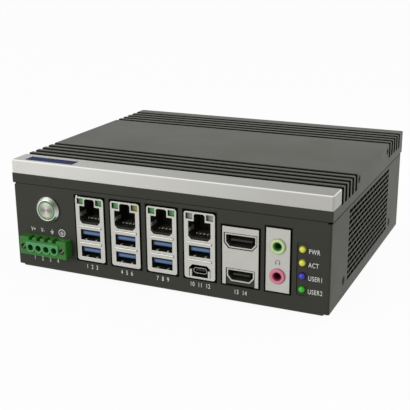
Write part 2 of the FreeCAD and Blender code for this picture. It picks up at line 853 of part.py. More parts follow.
def corner_posts():
    posts, side_screws, floor_screws = [], [], []
    for count, (side, end) in enumerate(CORNERS):
        inward = RIGHTWARD if side else LEFTWARD
        name = f"post_{count}"
        along = f"front + {end}"
        start = "-wall_inside + thread_gap" if side else "post_inside"
        block = box(f"{name}_block", (start, f"{along} - post_depth / 2", "post_foot"),
                    ("post_width", "post_depth", "seam_level - post_foot"))
        stud = cylinder(f"{name}_stud", (f"{side}stud_across", along, "seam_level"),
                        "post_stud_radius", "post_stud_height")
        side_base = (f"{side}wall_outside", along, "sill + side_screw_rise")
        side_reach = "side_sheet + screw_grip"
        side_hole = cylinder(f"{name}_side_hole", side_base, "screw_hole", side_reach, inward)
        foot_base = (f"{side}tie_across", along, "foot_height")
        foot_reach = "tray_sheet + side_sheet + screw_grip"
        foot_hole = cylinder(f"{name}_foot_hole", foot_base, "screw_hole", foot_reach)
        posts.append(cut(name, fused(f"{name}_blank", [block, stud]), [side_hole, foot_hole]))
        side_screws.append(flat_screw(f"side_screw_{count}", side_base, inward, f"{side_reach} - sheet_gap"))
        floor_screws.append(flat_screw(f"floor_screw_{count}", foot_base, UP, f"{foot_reach} - sheet_gap"))
    node(group("posts", posts), "corner_posts")
    node(group("side_screws", side_screws), "side_panel_screws")
    node(group("floor_screws", floor_screws), "bottom_cover_screws")


def feet_and_nuts():
    feet = [
        cone(f"foot_{count}", (f"{side}(half_width - foot_inset)", f"front + {along}", "0"),
             "foot_radius - foot_taper", "foot_radius", "foot_height")
        for count, (side, along) in enumerate(
            (side, along) for side in ("-", "") for along in ("foot_inset", "case_depth - foot_inset"))
    ]
    node(group("feet", feet), "rubber_feet")

    nuts = []
    for count, (across, along) in enumerate(bracket_corners()):
        base = (across, f"front + {along}", "foot_height")
        shank = cylinder(f"nut_{count}_shank", base, "nut_shank_radius", "tray_sheet")
        head = cylinder(f"nut_{count}_head", (*base[:2], "sill"), "nut_head_radius", "nut_head_height")
        bore = cylinder(f"nut_{count}_bore", base, "nut_bore_radius", "tray_sheet + nut_head_height")
        nuts.append(cut(f"nut_{count}", fused(f"nut_{count}_blank", [shank, head]), [bore]))
    node(group("nuts", nuts), "mount_nuts")


# Board and what it carries

def mainboard():
    level = "board_top - board_thickness"
    blank = box("board_blank", ("-board_half", "front + board_front", level),
                ("2 * board_half", "board_depth", "board_thickness"))
    cuts, standoffs, screws = [], [], []
    for count, (side, end) in enumerate(CORNERS):
        start = "-wall_inside" if side else "post_inside - board_post_gap"
        corner = (start, f"front + {end} - post_depth / 2 - board_post_gap", level)
        cuts.append(box(f"board_notch_{count}", corner,
                        ("post_width + board_post_gap + thread_gap", "post_depth + 2 * board_post_gap",
                         "board_thickness")))
    fixings = [
        (f"{side}standoff_across", f"front + {along}")
        for side in ("-", "")
        for along in ("standoff_setback", "standoff_rear")
    ]
    for count, (across, along) in enumerate(fixings):
        cuts.append(cylinder(f"board_hole_{count}", (across, along, level), "screw_hole", "board_thickness"))
        pillar = hexagon(f"standoff_{count}_pillar", (across, along, "sill"),
                         "standoff_radius", "standoff_height")
        thread = cylinder(f"standoff_{count}_thread", (across, along, f"{level} - screw_grip"),
                          "screw_hole", "screw_grip")
        standoffs.append(cut(f"standoff_{count}", pillar, [thread]))
        screws.append(pan_screw(f"board_screw_{count}", (across, along, "board_top + pan_head_height"), DOWN,
                                "board_thickness + screw_grip - sheet_gap"))
    node(cut("board", blank, cuts), "mainboard")
    node(group("standoffs", standoffs), "board_standoffs")
    node(group("board_screws", screws), "board_screws")


def centred_box(name, size, level, height):
    """A square block on the middle of the board behind the ports."""
    return box(name, (f"-{size} / 2", f"front + board_middle - {size} / 2", level), (size, size, height))


def processor_and_heat_path():
    lid_level = "board_top + package_height"
    package = centred_box("package", "package_size", "board_top", "package_height")
    lid = centred_box("lid", "lid_size", lid_level, "lid_height")
    node(fused("chip", [package, lid]), "processor")
    pad_level = f"{lid_level} + lid_height"
    node(centred_box("pad", "lid_size", pad_level, "pad_thickness"), "thermal_pad")
    block_level = f"{pad_level} + pad_thickness"
    ceiling = "seam_level + cavity_height"
    column = centred_box("column", "block_size", block_level, f"{ceiling} - ({block_level})")
    flange = centred_box("flange", "block_flange", f"{ceiling} - block_flange_height", "block_flange_height")
    node(fused("block", [column, flange]), "heat_block")


def storage_and_cell():
    left = "card_inset - board_half"
    start = "front + board_middle - card_length / 2"
    level = "board_top + socket_height / 2"
    socket = box("socket_blank",
                 (f"{left} - thread_gap", f"{start} - socket_depth + socket_reach", "board_top"),
                 ("card_width + 2 * thread_gap", "socket_depth", "socket_height"))
    mouth = box("socket_mouth", (f"{left} - thread_gap", start, f"{level} - thread_gap"),
                ("card_width + 2 * thread_gap", "socket_reach", "card_thickness + 2 * thread_gap"))
    node(cut("socket", socket, [mouth]), "storage_socket")
    sheet = box("card_sheet", (left, start, level), ("card_width", "card_length", "card_thickness"))
    chips = [
        box(f"card_chip_{count}",
            (f"{left} + (card_width - chip_size) / 2",
             f"{start} + socket_depth + chip_gap + {count} * (chip_size + chip_gap)",
             f"{level} + card_thickness"),
            ("chip_size", "chip_size", "chip_height"))
        for count in range(3)
    ]
    node(fused("card", [sheet, *chips]), "storage_card")

    centre = ("board_half - cell_inset", "front + board_middle")
    floor = (*centre, "board_top + cell_wall")
    rim = cylinder("cell_rim", (*centre, "board_top"), "cell_radius + cell_wall", "cell_wall + cell_height")
    seat = cylinder("cell_seat", floor, "cell_radius + thread_gap", "cell_height")
    node(cut("cell_cup", rim, [seat]), "coin_cell_holder")
    node(cylinder("cell", floor, "cell_radius", "cell_height"), "coin_cell")


# Ports

def lan_outline(sketch, floor="lan_floor"):
    """The network jack's mouth, with a latch notch on top and cut lower corners."""
    right = "lan_left + lan_width"
    shoulder = "stack_height - lan_drop"
    crest = "stack_height - latch_drop"
    latch_left = "(stack_width - latch_width) / 2"
    latch_right = "(stack_width + latch_width) / 2"
    outline(sketch, [
        ("lan_left + lan_corner", floor), (f"{right} - lan_corner", floor),
        (right, f"{floor} + lan_corner"), (right, shoulder), (latch_right, shoulder),
        (latch_right, f"{crest} - latch_corner"), (f"{latch_right} - latch_corner", crest),
        (f"{latch_left} + latch_corner", crest), (latch_left, f"{crest} - latch_corner"),
        (latch_left, shoulder), ("lan_left", shoulder), ("lan_left", f"{floor} + lan_corner"),
    ])


def arch_outline(sketch):
    """The type-C recess, as wide as a type-A port with cut upper corners."""
    right = "type_a_left + type_a_width"
    high = "type_c_floor + type_c_room"
    outline(sketch, [
        ("type_a_left", "type_c_floor"), (right, "type_c_floor"), (right, f"{high} - type_c_arch"),
        (f"{right} - type_c_arch", high), ("type_a_left + type_c_arch", high),
        ("type_a_left", f"{high} - type_c_arch"),
    ])


def type_a_outline(sketch, floor):
    rectangle(sketch, "type_a_left", floor, "type_a_width", "type_a_height")


LAMP_LEFTS = ("lamp_inset", "stack_width - lamp_inset - lamp_width")
LAMP_LEVEL = "stack_height - lamp_drop - lamp_height"
LAST_STACK = 3


def stack_place(part, stack):
    return place(part, f"stack_start + {stack} * stack_pitch - half_width", "front - port_proud", "board_top")


def stack_shell(stack):
    body = new_body(f"shell_{stack}")
    block = sketch_on(body, "XZ_Plane", "block")
    rectangle(block, "0", "0", "stack_width", "stack_height")
    pad(body, block, "stack_depth", backwards=True)
    rounded(body, "stack_corner_radius", lambda edge: runs_along(edge, "y"))
    hollow = sketch_on(body, "XZ_Plane", "hollow", "-shell_sheet")
    rectangle(hollow, "shell_sheet", "shell_sheet",
              "stack_width - 2 * shell_sheet", "stack_height - 2 * shell_sheet")
    pocket(body, hollow, "stack_depth - shell_sheet")
    mouths = sketch_on(body, "XZ_Plane", "mouths")
    lan_outline(mouths)
    for left in LAMP_LEFTS:
        rectangle(mouths, left, LAMP_LEVEL, "lamp_width", "lamp_height")
    type_a_outline(mouths, "upper_floor")
    if stack == LAST_STACK:
        arch_outline(mouths)
    else:
        type_a_outline(mouths, "lower_floor")
    pocket(body, mouths, "shell_sheet")

    # Pressed folds between the mouths
    ribs = sketch_on(body, "XZ_Plane", "ribs")
    for below, above in (("upper_floor", "lan_floor"), ("lower_floor", "upper_floor")):
        rectangle(ribs, "(stack_width - rib_width) / 2",
                  f"({below} + type_a_height + {above} - rib_height) / 2", "rib_width", "rib_height")
    pad(body, ribs, "rib_proud")
    rounded(body, "rib_radius", lambda edge: runs_along(edge, "x") and lies(edge, y="-rib_proud"))
    node(stack_place(body, stack), f"port_stack_shell_{stack + 1}")


def stack_insert(stack):
    body = new_body(f"insert_{stack}")
    block = sketch_on(body, "XZ_Plane", "block", "-insert_front")
    rectangle(block, "insert_front", "insert_front", "insert_width", "stack_height - 2 * insert_front")
    pad(body, block, "stack_depth - insert_front", backwards=True)
    jack = sketch_on(body, "XZ_Plane", "jack", "-insert_front")
    lan_outline(jack, "(lan_floor + lan_ledge)")
    pocket(body, jack, "lan_depth")
    seats = sketch_on(body, "XZ_Plane", "lamp_seats", "-insert_front")
    for left in LAMP_LEFTS:
        rectangle(seats, left, LAMP_LEVEL, "lamp_width", "lamp_height")
    pocket(body, seats, "lamp_recess + lamp_length - insert_front")
    ports = sketch_on(body, "XZ_Plane", "ports", "-insert_front")
    type_a_outline(ports, "upper_floor")
    if stack != LAST_STACK:
        type_a_outline(ports, "lower_floor")
    pocket(body, ports, "type_a_depth")
    if stack == LAST_STACK:
        recess = sketch_on(body, "XZ_Plane", "recess", "-insert_front")
        arch_outline(recess)
        pocket(body, recess, "type_c_recess")
    node(stack_place(body, stack), f"port_stack_insert_{stack + 1}")


def stack_contents():
    """Tongues, springs, contacts and lamps of all the stacks."""
    tongues, springs, contacts = [], [], []
    lamps = {"green": [], "amber": [], "clear": []}
    colours = [("green", "green"), ("green", "amber"), ("green", "green"), ("clear", "clear")]
    jack_back = "insert_front + lan_depth"
    port_back = "insert_front + type_a_depth"
    for stack in range(4):
        floors = ["upper_floor"] if stack == LAST_STACK else ["upper_floor", "lower_floor"]
        for count, floor in enumerate(floors):
            tongue = box(f"tongue_{stack}_{count}",
                         ("0", "0", "0"), ("tongue_width", f"{port_back} - tongue_setback", "tongue_height"))
            tongues.append(place(
                tongue,
                f"stack_start + {stack} * stack_pitch - half_width + (stack_width - tongue_width) / 2",
                "front - port_proud + tongue_setback",
                f"board_top + {floor} + type_a_height - tongue_drop - tongue_height"))
            for side in (-1, 1):
                spring = box(f"spring_{stack}_{count}_{side + 1}", ("0", "0", "0"),
                             ("spring_width", "spring_length", "spring_thickness"))
                springs.append(place(
                    spring,
                    f"stack_start + {stack} * stack_pitch - half_width + stack_width / 2"
                    f" + {side} * spring_spacing / 2 - spring_width / 2",
                    "front - port_proud + insert_front", f"board_top + {floor}"))
        for count, left in enumerate(("lan_left", "lan_left + lan_width - spring_thickness")):
            tab = box(f"tab_{stack}_{count}", ("0", "0", "0"),
                      ("spring_thickness", "side_spring_length", "side_spring_height"))
            springs.append(place(
                tab, f"stack_start + {stack} * stack_pitch - half_width + {left}",
                "front - port_proud + insert_front",
                "board_top + lan_floor + (lan_height - side_spring_height) / 2"))
        for wire in range(8):
            contact = box(f"contact_{stack}_{wire}", ("0", "0", "0"),
                          ("contact_width", "contact_length", "contact_width"))
            contacts.append(place(
                contact,
                f"stack_start + {stack} * stack_pitch - half_width + stack_width / 2"
                f" + ({wire} - 3.5) * contact_pitch - contact_width / 2",
                f"front - port_proud + {jack_back} - contact_length", "board_top + lan_floor + contact_rise"))
        for colour, left in zip(colours[stack], LAMP_LEFTS):
            lamp = box(f"lamp_{stack}_{LAMP_LEFTS.index(left)}", ("0", "0", "0"),
                       ("lamp_width - 2 * insert_gap", "lamp_length", "lamp_height - 2 * insert_gap"))
            lamps[colour].append(place(
                lamp, f"stack_start + {stack} * stack_pitch - half_width + {left} + insert_gap",
                "front - port_proud + lamp_recess", f"board_top + {LAMP_LEVEL} + insert_gap"))
    arch_lefts = ("type_a_left + arch_tab_gap", "type_a_left + type_a_width - arch_tab_width - arch_tab_gap")
    for count, left in enumerate(arch_lefts):
        tab = box(f"arch_tab_{count}", ("0", "0", "0"),
                  ("arch_tab_width", "spring_length", "arch_tab_height"))
        springs.append(place(tab, f"stack_start + {LAST_STACK} * stack_pitch - half_width + {left}",
                             "front - port_proud + arch_tab_setback", "board_top + type_c_floor"))
    node(group("tongues", tongues), "type_a_tongues")
    node(group("springs", springs), "port_shield_springs")
    node(group("contacts", contacts), "lan_contacts")
    node(group("lamps_green", lamps["green"]), "port_lamps_green")
    node(group("lamps_amber", lamps["amber"]), "port_lamp_amber")
    node(group("lamps_clear", lamps["clear"]), "port_lamps_clear")


def oval(name, centre, width, height, depth):
    """A bar with round ends, running into the panel from the middle of its front."""
    across, along, level = centre
    radius = f"({height}) / 2"
    offset = f"(({width}) - ({height})) / 2"
    shapes = [box(f"{name}_bar", (f"{across} - {offset}", along, f"{level} - {radius}"),
                  (f"2 * {offset}", depth, height))]
    for count, sign in enumerate("-+"):
        middle = (f"{across} {sign} {offset}", along, level)
        shapes.append(cylinder(f"{name}_end_{count}", middle, radius, depth, INTO))
    return fused(name, shapes)


def type_c_port():
    """The oval shell and its tongue, at the back of the last stack's lower recess."""
    length = "type_c_recess + insert_front - type_c_setback"
    middle = f"(stack_start + {LAST_STACK} * stack_pitch + stack_width / 2 - half_width)"
    level = "(board_top + type_c_rise)"
    centre = (middle, "front - port_proud + type_c_setback", level)
    shell = oval("oval", centre, "type_c_width", "type_c_height", length)
    mouth = oval("oval_mouth", centre,
                 "type_c_width - 2 * type_c_wall", "type_c_height - 2 * type_c_wall", length)
    node(cut("oval_shell", shell, [mouth]), "type_c_shell")
    corner = (f"{middle} - type_c_tongue_width / 2", "front - port_proud + 2 * type_c_setback",
              f"{level} - type_c_tongue_height / 2")
    tongue = box("oval_tongue", corner,
                 ("type_c_tongue_width", f"{length} - type_c_setback", "type_c_tongue_height"))
    node(tongue, "type_c_tongue")


def rim_outline(sketch, name, inset="0"):
    """A video socket's outline, narrower at its foot; name is upper or lower."""
    half = f"({name}_rim_width / 2 - ({inset}))"
    left = f"video_width / 2 - {half}"
    right = f"video_width / 2 + {half}"
    high = f"video_height - {name}_rim_drop - ({inset})"
    foot = f"video_height - {name}_rim_drop - {name}_rim_height + ({inset})"
    slope = f"(rim_chamfer_width - ({inset}) / 2)"
    shoulder = f"{foot} + rim_chamfer_height - ({inset}) / 2"
    outline(sketch, [
        (f"{left} + {slope}", foot), (f"{right} - {slope}", foot),
        (right, shoulder), (right, high), (left, high), (left, shoulder),
    ])


def video_place(part):
    return place(part, "video_start - half_width", "front - port_proud", "board_top")


def video_ports():
    """A folded shell with a socket in its face and one between its two legs."""
    body = new_body("video")
    block = sketch_on(body, "XZ_Plane", "block")
    rectangle(block, "0", "0", "video_width", "video_height")
    pad(body, block, "video_depth", backwards=True)
    hollow = sketch_on(body, "XZ_Plane", "hollow", "-shell_sheet")
    rectangle(hollow, "shell_sheet", "0", "video_width - 2 * shell_sheet", "video_height - shell_sheet")
    pocket(body, hollow, "video_depth - shell_sheet")
    mouths = sketch_on(body, "XZ_Plane", "mouths")
    rim_outline(mouths, "upper", "-rim_gap")
    rectangle(mouths, "(video_width - lower_rim_width) / 2 - rim_gap", "0",
              "lower_rim_width + 2 * rim_gap", "video_height - lower_rim_drop + rim_gap")
    pocket(body, mouths, "shell_sheet")
    node(video_place(body), "video_shell")

    rims = []
    feet = {
        "upper": "video_height - upper_rim_drop - upper_rim_height - socket_wall",
        "lower": "0",
    }
    for name, foot in feet.items():
        rim = new_body(f"rim_{name}")
        band = sketch_on(rim, "XZ_Plane", "band", "-rim_setback")
        rim_outline(band, name)
        rim_outline(band, name, "rim_wall")
        pad(rim, band, "insert_front - rim_setback", backwards=True)
        rims.append(video_place(rim))

        insert = new_body(f"video_{name}")
        block = sketch_on(insert, "XZ_Plane", "block", "-insert_front")
        rectangle(block, "insert_front", foot, "video_width - 2 * insert_front",
                  f"video_height - {name}_rim_drop + socket_wall - ({foot})")
        pad(insert, block, "video_depth - insert_front", backwards=True)
        mouth = sketch_on(insert, "XZ_Plane", "mouth", "-insert_front")
        rim_outline(mouth, name, "rim_wall")
        pocket(insert, mouth, "socket_cavity")
        blade = sketch_on(insert, "XZ_Plane", "blade", "-blade_setback")
        rectangle(blade, f"(video_width - {name}_rim_width) / 2 + rim_wall + blade_inset",
                  f"video_height - {name}_rim_drop - ({name}_rim_height + blade_height) / 2",
                  f"{name}_rim_width - 2 * (rim_wall + blade_inset)", "blade_height")
        pad(insert, blade, "insert_front + socket_cavity - blade_setback", backwards=True)
        node(video_place(insert), f"video_socket_{name}")
    node(group("rims", rims), "video_socket_rims")


def audio_ports():
    drops = {"green": "upper_jack_drop", "pink": "upper_jack_drop + jack_pitch"}
    level = "board_top + audio_height"
    plate = box("audio_blank", ("audio_start - half_width", "front - port_proud", "board_top"),
                ("audio_width", "audio_sheet", "audio_height"))
    block = box("jack_blank", ("audio_start - half_width", "front - port_proud + audio_sheet", "board_top"),
                ("audio_width", "jack_body_depth", "audio_height"))
    centres = {
        colour: ("audio_start + audio_width / 2 - half_width", f"{level} - ({drop})")
        for colour, drop in drops.items()
    }
    bores = {"plate": [], "block": []}
    for colour, (across, height) in centres.items():
        start = (across, "front - port_proud", height)
        bores["plate"].append(cylinder(f"plate_{colour}", start, "jack_sleeve_radius + insert_gap",
                                       "audio_sheet", INTO))
        bores["block"].append(cylinder(f"block_{colour}", start, "jack_sleeve_radius + insert_gap",
                                       "audio_sheet + jack_body_depth", INTO))
    node(cut("audio_sheet", plate, bores["plate"]), "audio_plate")
    node(cut("jack_block", block, bores["block"]), "audio_jack_body")

    end = "audio_sheet + jack_body_depth"
    for colour, (across, height) in centres.items():
        body = new_body(f"jack_{colour}")
        section = sketch_on(body, "YZ_Plane", "section")
        outline(section, [
            (end, "jack_bore_radius"), (end, "jack_sleeve_radius"), ("0", "jack_sleeve_radius"),
            ("0", "jack_rim_radius"), ("-jack_rim_proud / 2", "jack_rim_radius"),
            ("-jack_rim_proud", "jack_rim_radius - jack_rim_proud / 2"),
            ("-jack_rim_proud", "jack_bore_radius + jack_funnel"),
            ("jack_funnel - jack_rim_proud", "jack_bore_radius"),
        ])
        revolve(body, section)
        node(place(body, across, "front - port_proud", height), f"audio_jack_{colour}")


def status_lamps():
    """A moulded strip in the panel's slot, with a round lamp in each of its holes."""
    body = new_body("strip")
    block = sketch_on(body, "XZ_Plane", "block", "-led_recess")
    rectangle(block, "sheet_gap", "0", "led_slot_width - 2 * sheet_gap", "led_slot_height - 2 * sheet_gap")
    pad(body, block, "led_holder_depth", backwards=True)
    rounded(body, "window_radius - sheet_gap", lambda edge: runs_along(edge, "y"))
    holes = sketch_on(body, "XZ_Plane", "holes", "-led_recess")
    seat = "led_radius - led_proud"
    lamps = {"green": [], "blue": [], "yellow": []}
    for count, colour in enumerate(("green", "blue", "yellow", "yellow")):
        rise = f"led_rise + {count} * led_pitch"
        circle(holes, "led_slot_width / 2", rise, "led_radius + insert_gap")
        base = ("led_start + led_slot_width / 2 - half_width", f"front + {seat}", f"board_top + {rise}")
        stem = cylinder(f"led_stem_{count}", base, "led_radius", "led_length", INTO)
        dome = place(bind(doc.addObject("Part::Sphere", f"led_dome_{count}"), Radius="led_radius"), *base)
        lamps[colour].append(fused(f"led_{count}", [stem, dome]))
    pocket(body, holes, f"{seat} + led_length - led_recess")
    node(place(body, "led_start - half_width", "front", "board_top"), "led_holder")
    node(group("leds_yellow", lamps["yellow"]), "status_leds_yellow")
    node(group("leds_blue", lamps["blue"]), "status_led_blue")
    node(group("leds_green", lamps["green"]), "status_led_green")


def terminal_plug():
    """A flanged plug whose block stands on the panel and whose tail reaches its header behind it."""
    body = new_body("plug")
    block = sketch_on(body, "XZ_Plane", "block")
    rectangle(block, "0", "0", "plug_width", "plug_height")
    pad(body, block, "block_reach")
    rounded(body, "plug_edge_radius", lambda edge: runs_along(edge, "y") or lies(edge, y="-block_reach"))
    tail = sketch_on(body, "XZ_Plane", "tail")
    rectangle(tail, "plug_tail_inset", "plug_tail_margin", "tail_width", "tail_height")
    pad(body, tail, "plug_tail_length", backwards=True)

    ways = [f"plug_end + {count} * way_pitch" for count in range(4)]
    bores = sketch_on(body, "XZ_Plane", "wire_bores", "block_reach")
    slots = sketch_on(body, "XY_Plane", "screw_slots", "plug_height")
    wells = sketch_on(body, "XY_Plane", "screw_wells", "plug_height")
    well_back = "plug_slot_length / 2 - block_reach"
    for way in ways:
        circle(bores, way, "way_rise", "way_radius")
        rectangle(slots, f"{way} - plug_slot_width / 2", "-block_reach",
                  "plug_slot_width", "plug_slot_length")
        circle(wells, way, well_back, "clamp_screw_radius + thread_gap")
    pocket(body, bores, "way_depth")
    pocket(body, slots, "plug_slot_depth")
    well_depth = "plug_height - way_rise - way_radius"
    pocket(body, wells, well_depth)

    recess = sketch_on(body, "XZ_Plane", "flange_recess", "block_reach")
    shanks = sketch_on(body, "XZ_Plane", "flange_shanks", "block_reach")
    ends = ("flange_screw_inset", "plug_width - flange_screw_inset")
    for across in ends:
        circle(recess, across, "way_rise", "flange_head_radius + sheet_gap")
        circle(shanks, across, "way_rise", "flange_screw_radius + thread_gap")
    pocket(body, recess, "flange_head_recess")
    pocket(body, shanks, "block_reach")
    left = "plug_left - half_width"
    level = "board_top + plug_rise"
    node(place(body, left, "front", level), "terminal_plug_body")

    face_top = "plug_height - face_top_drop"
    plate = box("face_plate",
                (f"{left} + plug_end - face_lobe_radius", "front - plug_reach", f"{level} + way_rise"),
                ("3 * way_pitch + 2 * face_lobe_radius", "face_proud", f"{face_top} - way_rise"))
    lobes, holes, clamps = [plate], [], []
    for count, way in enumerate(ways):
        start = (f"{left} + {way}", "front - plug_reach", f"{level} + way_rise")
        lobes.append(cylinder(f"face_lobe_{count}", start, "face_lobe_radius", "face_proud", INTO))
        holes.append(cylinder(f"face_hole_{count}", start, "way_radius", "face_proud", INTO))
        seat = (f"{left} + {way}", f"front + {well_back}", f"{level} + way_rise + way_radius")
        stud = cylinder(f"clamp_stud_{count}", seat, "clamp_screw_radius", "clamp_screw_height")
        slit = box(f"clamp_slit_{count}",
                   (f"{left} + {way} - drive_width / 2", f"front + {well_back} - clamp_screw_radius",
                    f"{level} + way_rise + way_radius + clamp_screw_height - drive_depth"),
                   ("drive_width", "2 * clamp_screw_radius", "drive_depth"))
        clamps.append(cut(f"clamp_{count}", stud, [slit]))
    node(cut("face", fused("face_blank", lobes), holes), "terminal_plug_face")
    node(group("clamps", clamps), "terminal_clamp_screws")

    screws = []
    for count, across in enumerate(ends):
        start = (f"{left} + {across}", "front - block_reach + flange_head_recess - flange_head_height",
                 f"{level} + way_rise")
        head = cylinder(f"flange_head_{count}", start, "flange_head_radius", "flange_head_height", INTO)
        shank = cylinder(f"flange_shank_{count}", start, "flange_screw_radius",
                         "block_reach - flange_head_recess + flange_head_height + tray_sheet", INTO)
        slit = box(f"flange_slit_{count}",
                   (f"{start[0]} - flange_head_radius", start[1], f"{start[2]} - drive_width / 2"),
                   ("2 * flange_head_radius", "drive_depth", "drive_width"))
        screws.append(cut(f"flange_screw_{count}", fused(f"flange_blank_{count}", [head, shank]), [slit]))
    node(group("flange_screws", screws), "terminal_flange_screws")
    header = box("header", (f"{left} + plug_tail_inset", "front + plug_tail_length", "board_top"),
                 ("tail_width", "header_depth", "header_height"))
    node(header, "terminal_header")


def power_button():
    def turned(name, corners, label):
        body = new_body(name)
        section = sketch_on(body, "YZ_Plane", "section")
        outline(section, corners)
        revolve(body, section)
        node(place(body, "button_left - half_width", "front", "button_level"), label)
        return body

    lip_front = "lip_sink - bezel_proud"
    lip_back = f"{lip_front} + lip_depth"
    turned("bezel", [
        (lip_front, "lip_radius"), ("-bezel_proud", "lip_radius + lip_sink"),
        ("-bezel_proud", "bezel_radius - bezel_rim - lip_sink"), ("-bezel_rim", "bezel_radius"),
        ("0", "bezel_radius"), ("0", "barrel_radius"),
        ("barrel_depth", "barrel_radius"), ("barrel_depth", "0"),
        ("barrel_depth - barrel_floor", "0"), ("barrel_depth - barrel_floor", "bore_radius"),
        (lip_back, "bore_radius"), (lip_back, "lip_radius"),
    ], "power_button_bezel")

    face = f"{lip_front} - cap_sink"
    flange = f"{lip_back} + cap_flange_gap"
    flange_back = f"{flange} + cap_flange_height"
    turned("cap", [
        (face, "0"), (face, "cap_radius - cap_chamfer"), (f"{face} + cap_chamfer", "cap_radius"),
        (flange, "cap_radius"), (flange, "cap_flange_radius"), (flange_back, "cap_flange_radius"),
        (flange_back, "cap_stem_radius"), (f"{flange_back} + cap_stem_length", "cap_stem_radius"),
        (f"{flange_back} + cap_stem_length", "0"),
    ], "power_button_cap")
    turned("light_ring", [
        (lip_front, "cap_radius + thread_gap"), (lip_front, "light_ring_radius"),
        (flange, "light_ring_radius"), (flange, "cap_radius + thread_gap"),
    ], "power_button_light_ring")

    base = ("button_left - half_width", "front + tray_sheet", "button_level")
    nut = hexagon("lock_nut_blank", base, "lock_nut_radius", "lock_nut_height", INTO)
    bore = cylinder("lock_nut_bore", base, "barrel_radius + thread_gap", "lock_nut_height", INTO)
    node(cut("lock_nut", nut, [bore]), "power_button_nut")


# Assembly

heatsink_cover()
trim_bar()
chassis_tray()
side_panel("left_side_panel", -1)
side_panel("right_side_panel", 1)
corner_posts()
feet_and_nuts()
mainboard()
processor_and_heat_path()
storage_and_cell()
for stack in range(4):
    stack_shell(stack)
    stack_insert(stack)
stack_contents()
type_c_port()
video_ports()
audio_ports()
status_lamps()
terminal_plug()
power_button()
doc.recompute()

# Checks before anything is written
failed = [part.Label for part in doc.Objects if {"Invalid", "Error"} & set(part.State)]
failed += [part.Label for part in nodes if part.Shape.isNull() or not part.Shape.isValid()]
if failed:
    raise RuntimeError(f"failed objects: {failed}")

os.makedirs("parts", exist_ok=True)
for part in nodes:
    part.Shape.exportStep(f"parts/{part.Label}.step")
print(f"{len(nodes)} sub-parts")
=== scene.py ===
import bpy
import math
from mathutils import Matrix, Vector


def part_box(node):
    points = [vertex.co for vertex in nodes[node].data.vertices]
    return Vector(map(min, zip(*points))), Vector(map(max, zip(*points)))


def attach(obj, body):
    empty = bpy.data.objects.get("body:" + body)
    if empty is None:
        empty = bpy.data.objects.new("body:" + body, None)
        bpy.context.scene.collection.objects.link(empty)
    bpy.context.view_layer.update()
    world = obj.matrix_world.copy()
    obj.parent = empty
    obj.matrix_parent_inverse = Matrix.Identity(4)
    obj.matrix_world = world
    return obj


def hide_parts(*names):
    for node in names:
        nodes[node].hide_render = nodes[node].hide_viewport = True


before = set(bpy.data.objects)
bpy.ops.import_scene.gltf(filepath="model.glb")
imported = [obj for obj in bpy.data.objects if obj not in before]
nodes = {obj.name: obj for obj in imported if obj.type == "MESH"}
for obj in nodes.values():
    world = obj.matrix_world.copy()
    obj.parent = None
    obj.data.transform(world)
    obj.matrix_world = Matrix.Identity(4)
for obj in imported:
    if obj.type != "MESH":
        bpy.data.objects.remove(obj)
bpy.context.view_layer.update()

MM = 0.001
CHASSIS = "chassis"
STACKS = range(1, 5)
SHELLS = [f"port_stack_shell_{n}" for n in STACKS]
INSERTS = [f"port_stack_insert_{n}" for n in STACKS]
SIDES = ["left_side_panel", "right_side_panel"]


def panel_face():
    """The front panel's face, which is level with the front of the trim bar."""
    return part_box("trim_bar")[0].y


def middle(name):
    low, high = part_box(name)
    return (low + high) / 2


# Shaders

# Places of a Mix node's colour sockets
MIX_FACTOR, MIX_FIRST, MIX_SECOND, MIX_COLOUR = 0, 6, 7, 2
BEVEL_SAMPLES = 4


class Shade:
    """A shader socket: arithmetic on it adds Math nodes, and node() adds a node of another kind."""

    def __init__(self, socket):
        self.socket = socket

    def node(self, kind, settings, sockets, output=0):
        """Add a node to the same tree, set it up, fill or link its sockets and give an output."""
        tree = self.socket.id_data
        made = tree.nodes.new(kind)
        for name, value in settings.items():
            setattr(made, name, value)
        for name, value in sockets.items():
            if isinstance(value, Shade):
                tree.links.new(value.socket, made.inputs[name])
            else:
                made.inputs[name].default_value = value
        return Shade(made.outputs[output])

    def sibling(self, output):
        """Another output of the node that this socket belongs to."""
        return Shade(self.socket.node.outputs[output])

    def maths(self, operation, first, second=0.0):
        return self.node("ShaderNodeMath", {"operation": operation}, {0: first, 1: second})

    def __add__(self, other):
        return self.maths("ADD", self, other)

    def __radd__(self, other):
        return self.maths("ADD", other, self)

    def __sub__(self, other):
        return self.maths("SUBTRACT", self, other)

    def __rsub__(self, other):
        return self.maths("SUBTRACT", other, self)

    def __mul__(self, other):
        return self.maths("MULTIPLY", self, other)

    def __rmul__(self, other):
        return self.maths("MULTIPLY", other, self)

    def __pow__(self, other):
        return self.maths("POWER", self, other)

    def __abs__(self):
        return self.maths("ABSOLUTE", self)


def linear(red, green, blue):
    """A colour given by its screen values from 0 to 255, as the shader's linear values."""
    def channel(value):
        share = value / 255
        return share / 12.92 if share <= 0.04045 else ((share + 0.055) / 1.055) ** 2.4

    return (channel(red), channel(green), channel(blue), 1.0)


def scaled(colour, factor):
    """A fixed colour made darker or brighter, up to white."""
    return (*(min(1.0, part * factor) for part in colour[:3]), 1.0)


def new_material(name, **constants):
    """A material with constant values on its surface shader, and the place on the object."""
    material = bpy.data.materials.new(name)
    material.use_nodes = True
    tree = material.node_tree
    surface = tree.nodes["Principled BSDF"]
    for socket, value in constants.items():
        surface.inputs[socket.replace("_", " ")].default_value = value
    place = Shade(tree.nodes.new("ShaderNodeTexCoord").outputs["Object"])
    return material, place


def feed(material, **shades):
    """Link varying values to the surface shader's sockets."""
    tree = material.node_tree
    surface = tree.nodes["Principled BSDF"]
    for socket, shade in shades.items():
        tree.links.new(shade.socket, surface.inputs[socket.replace("_", " ")])


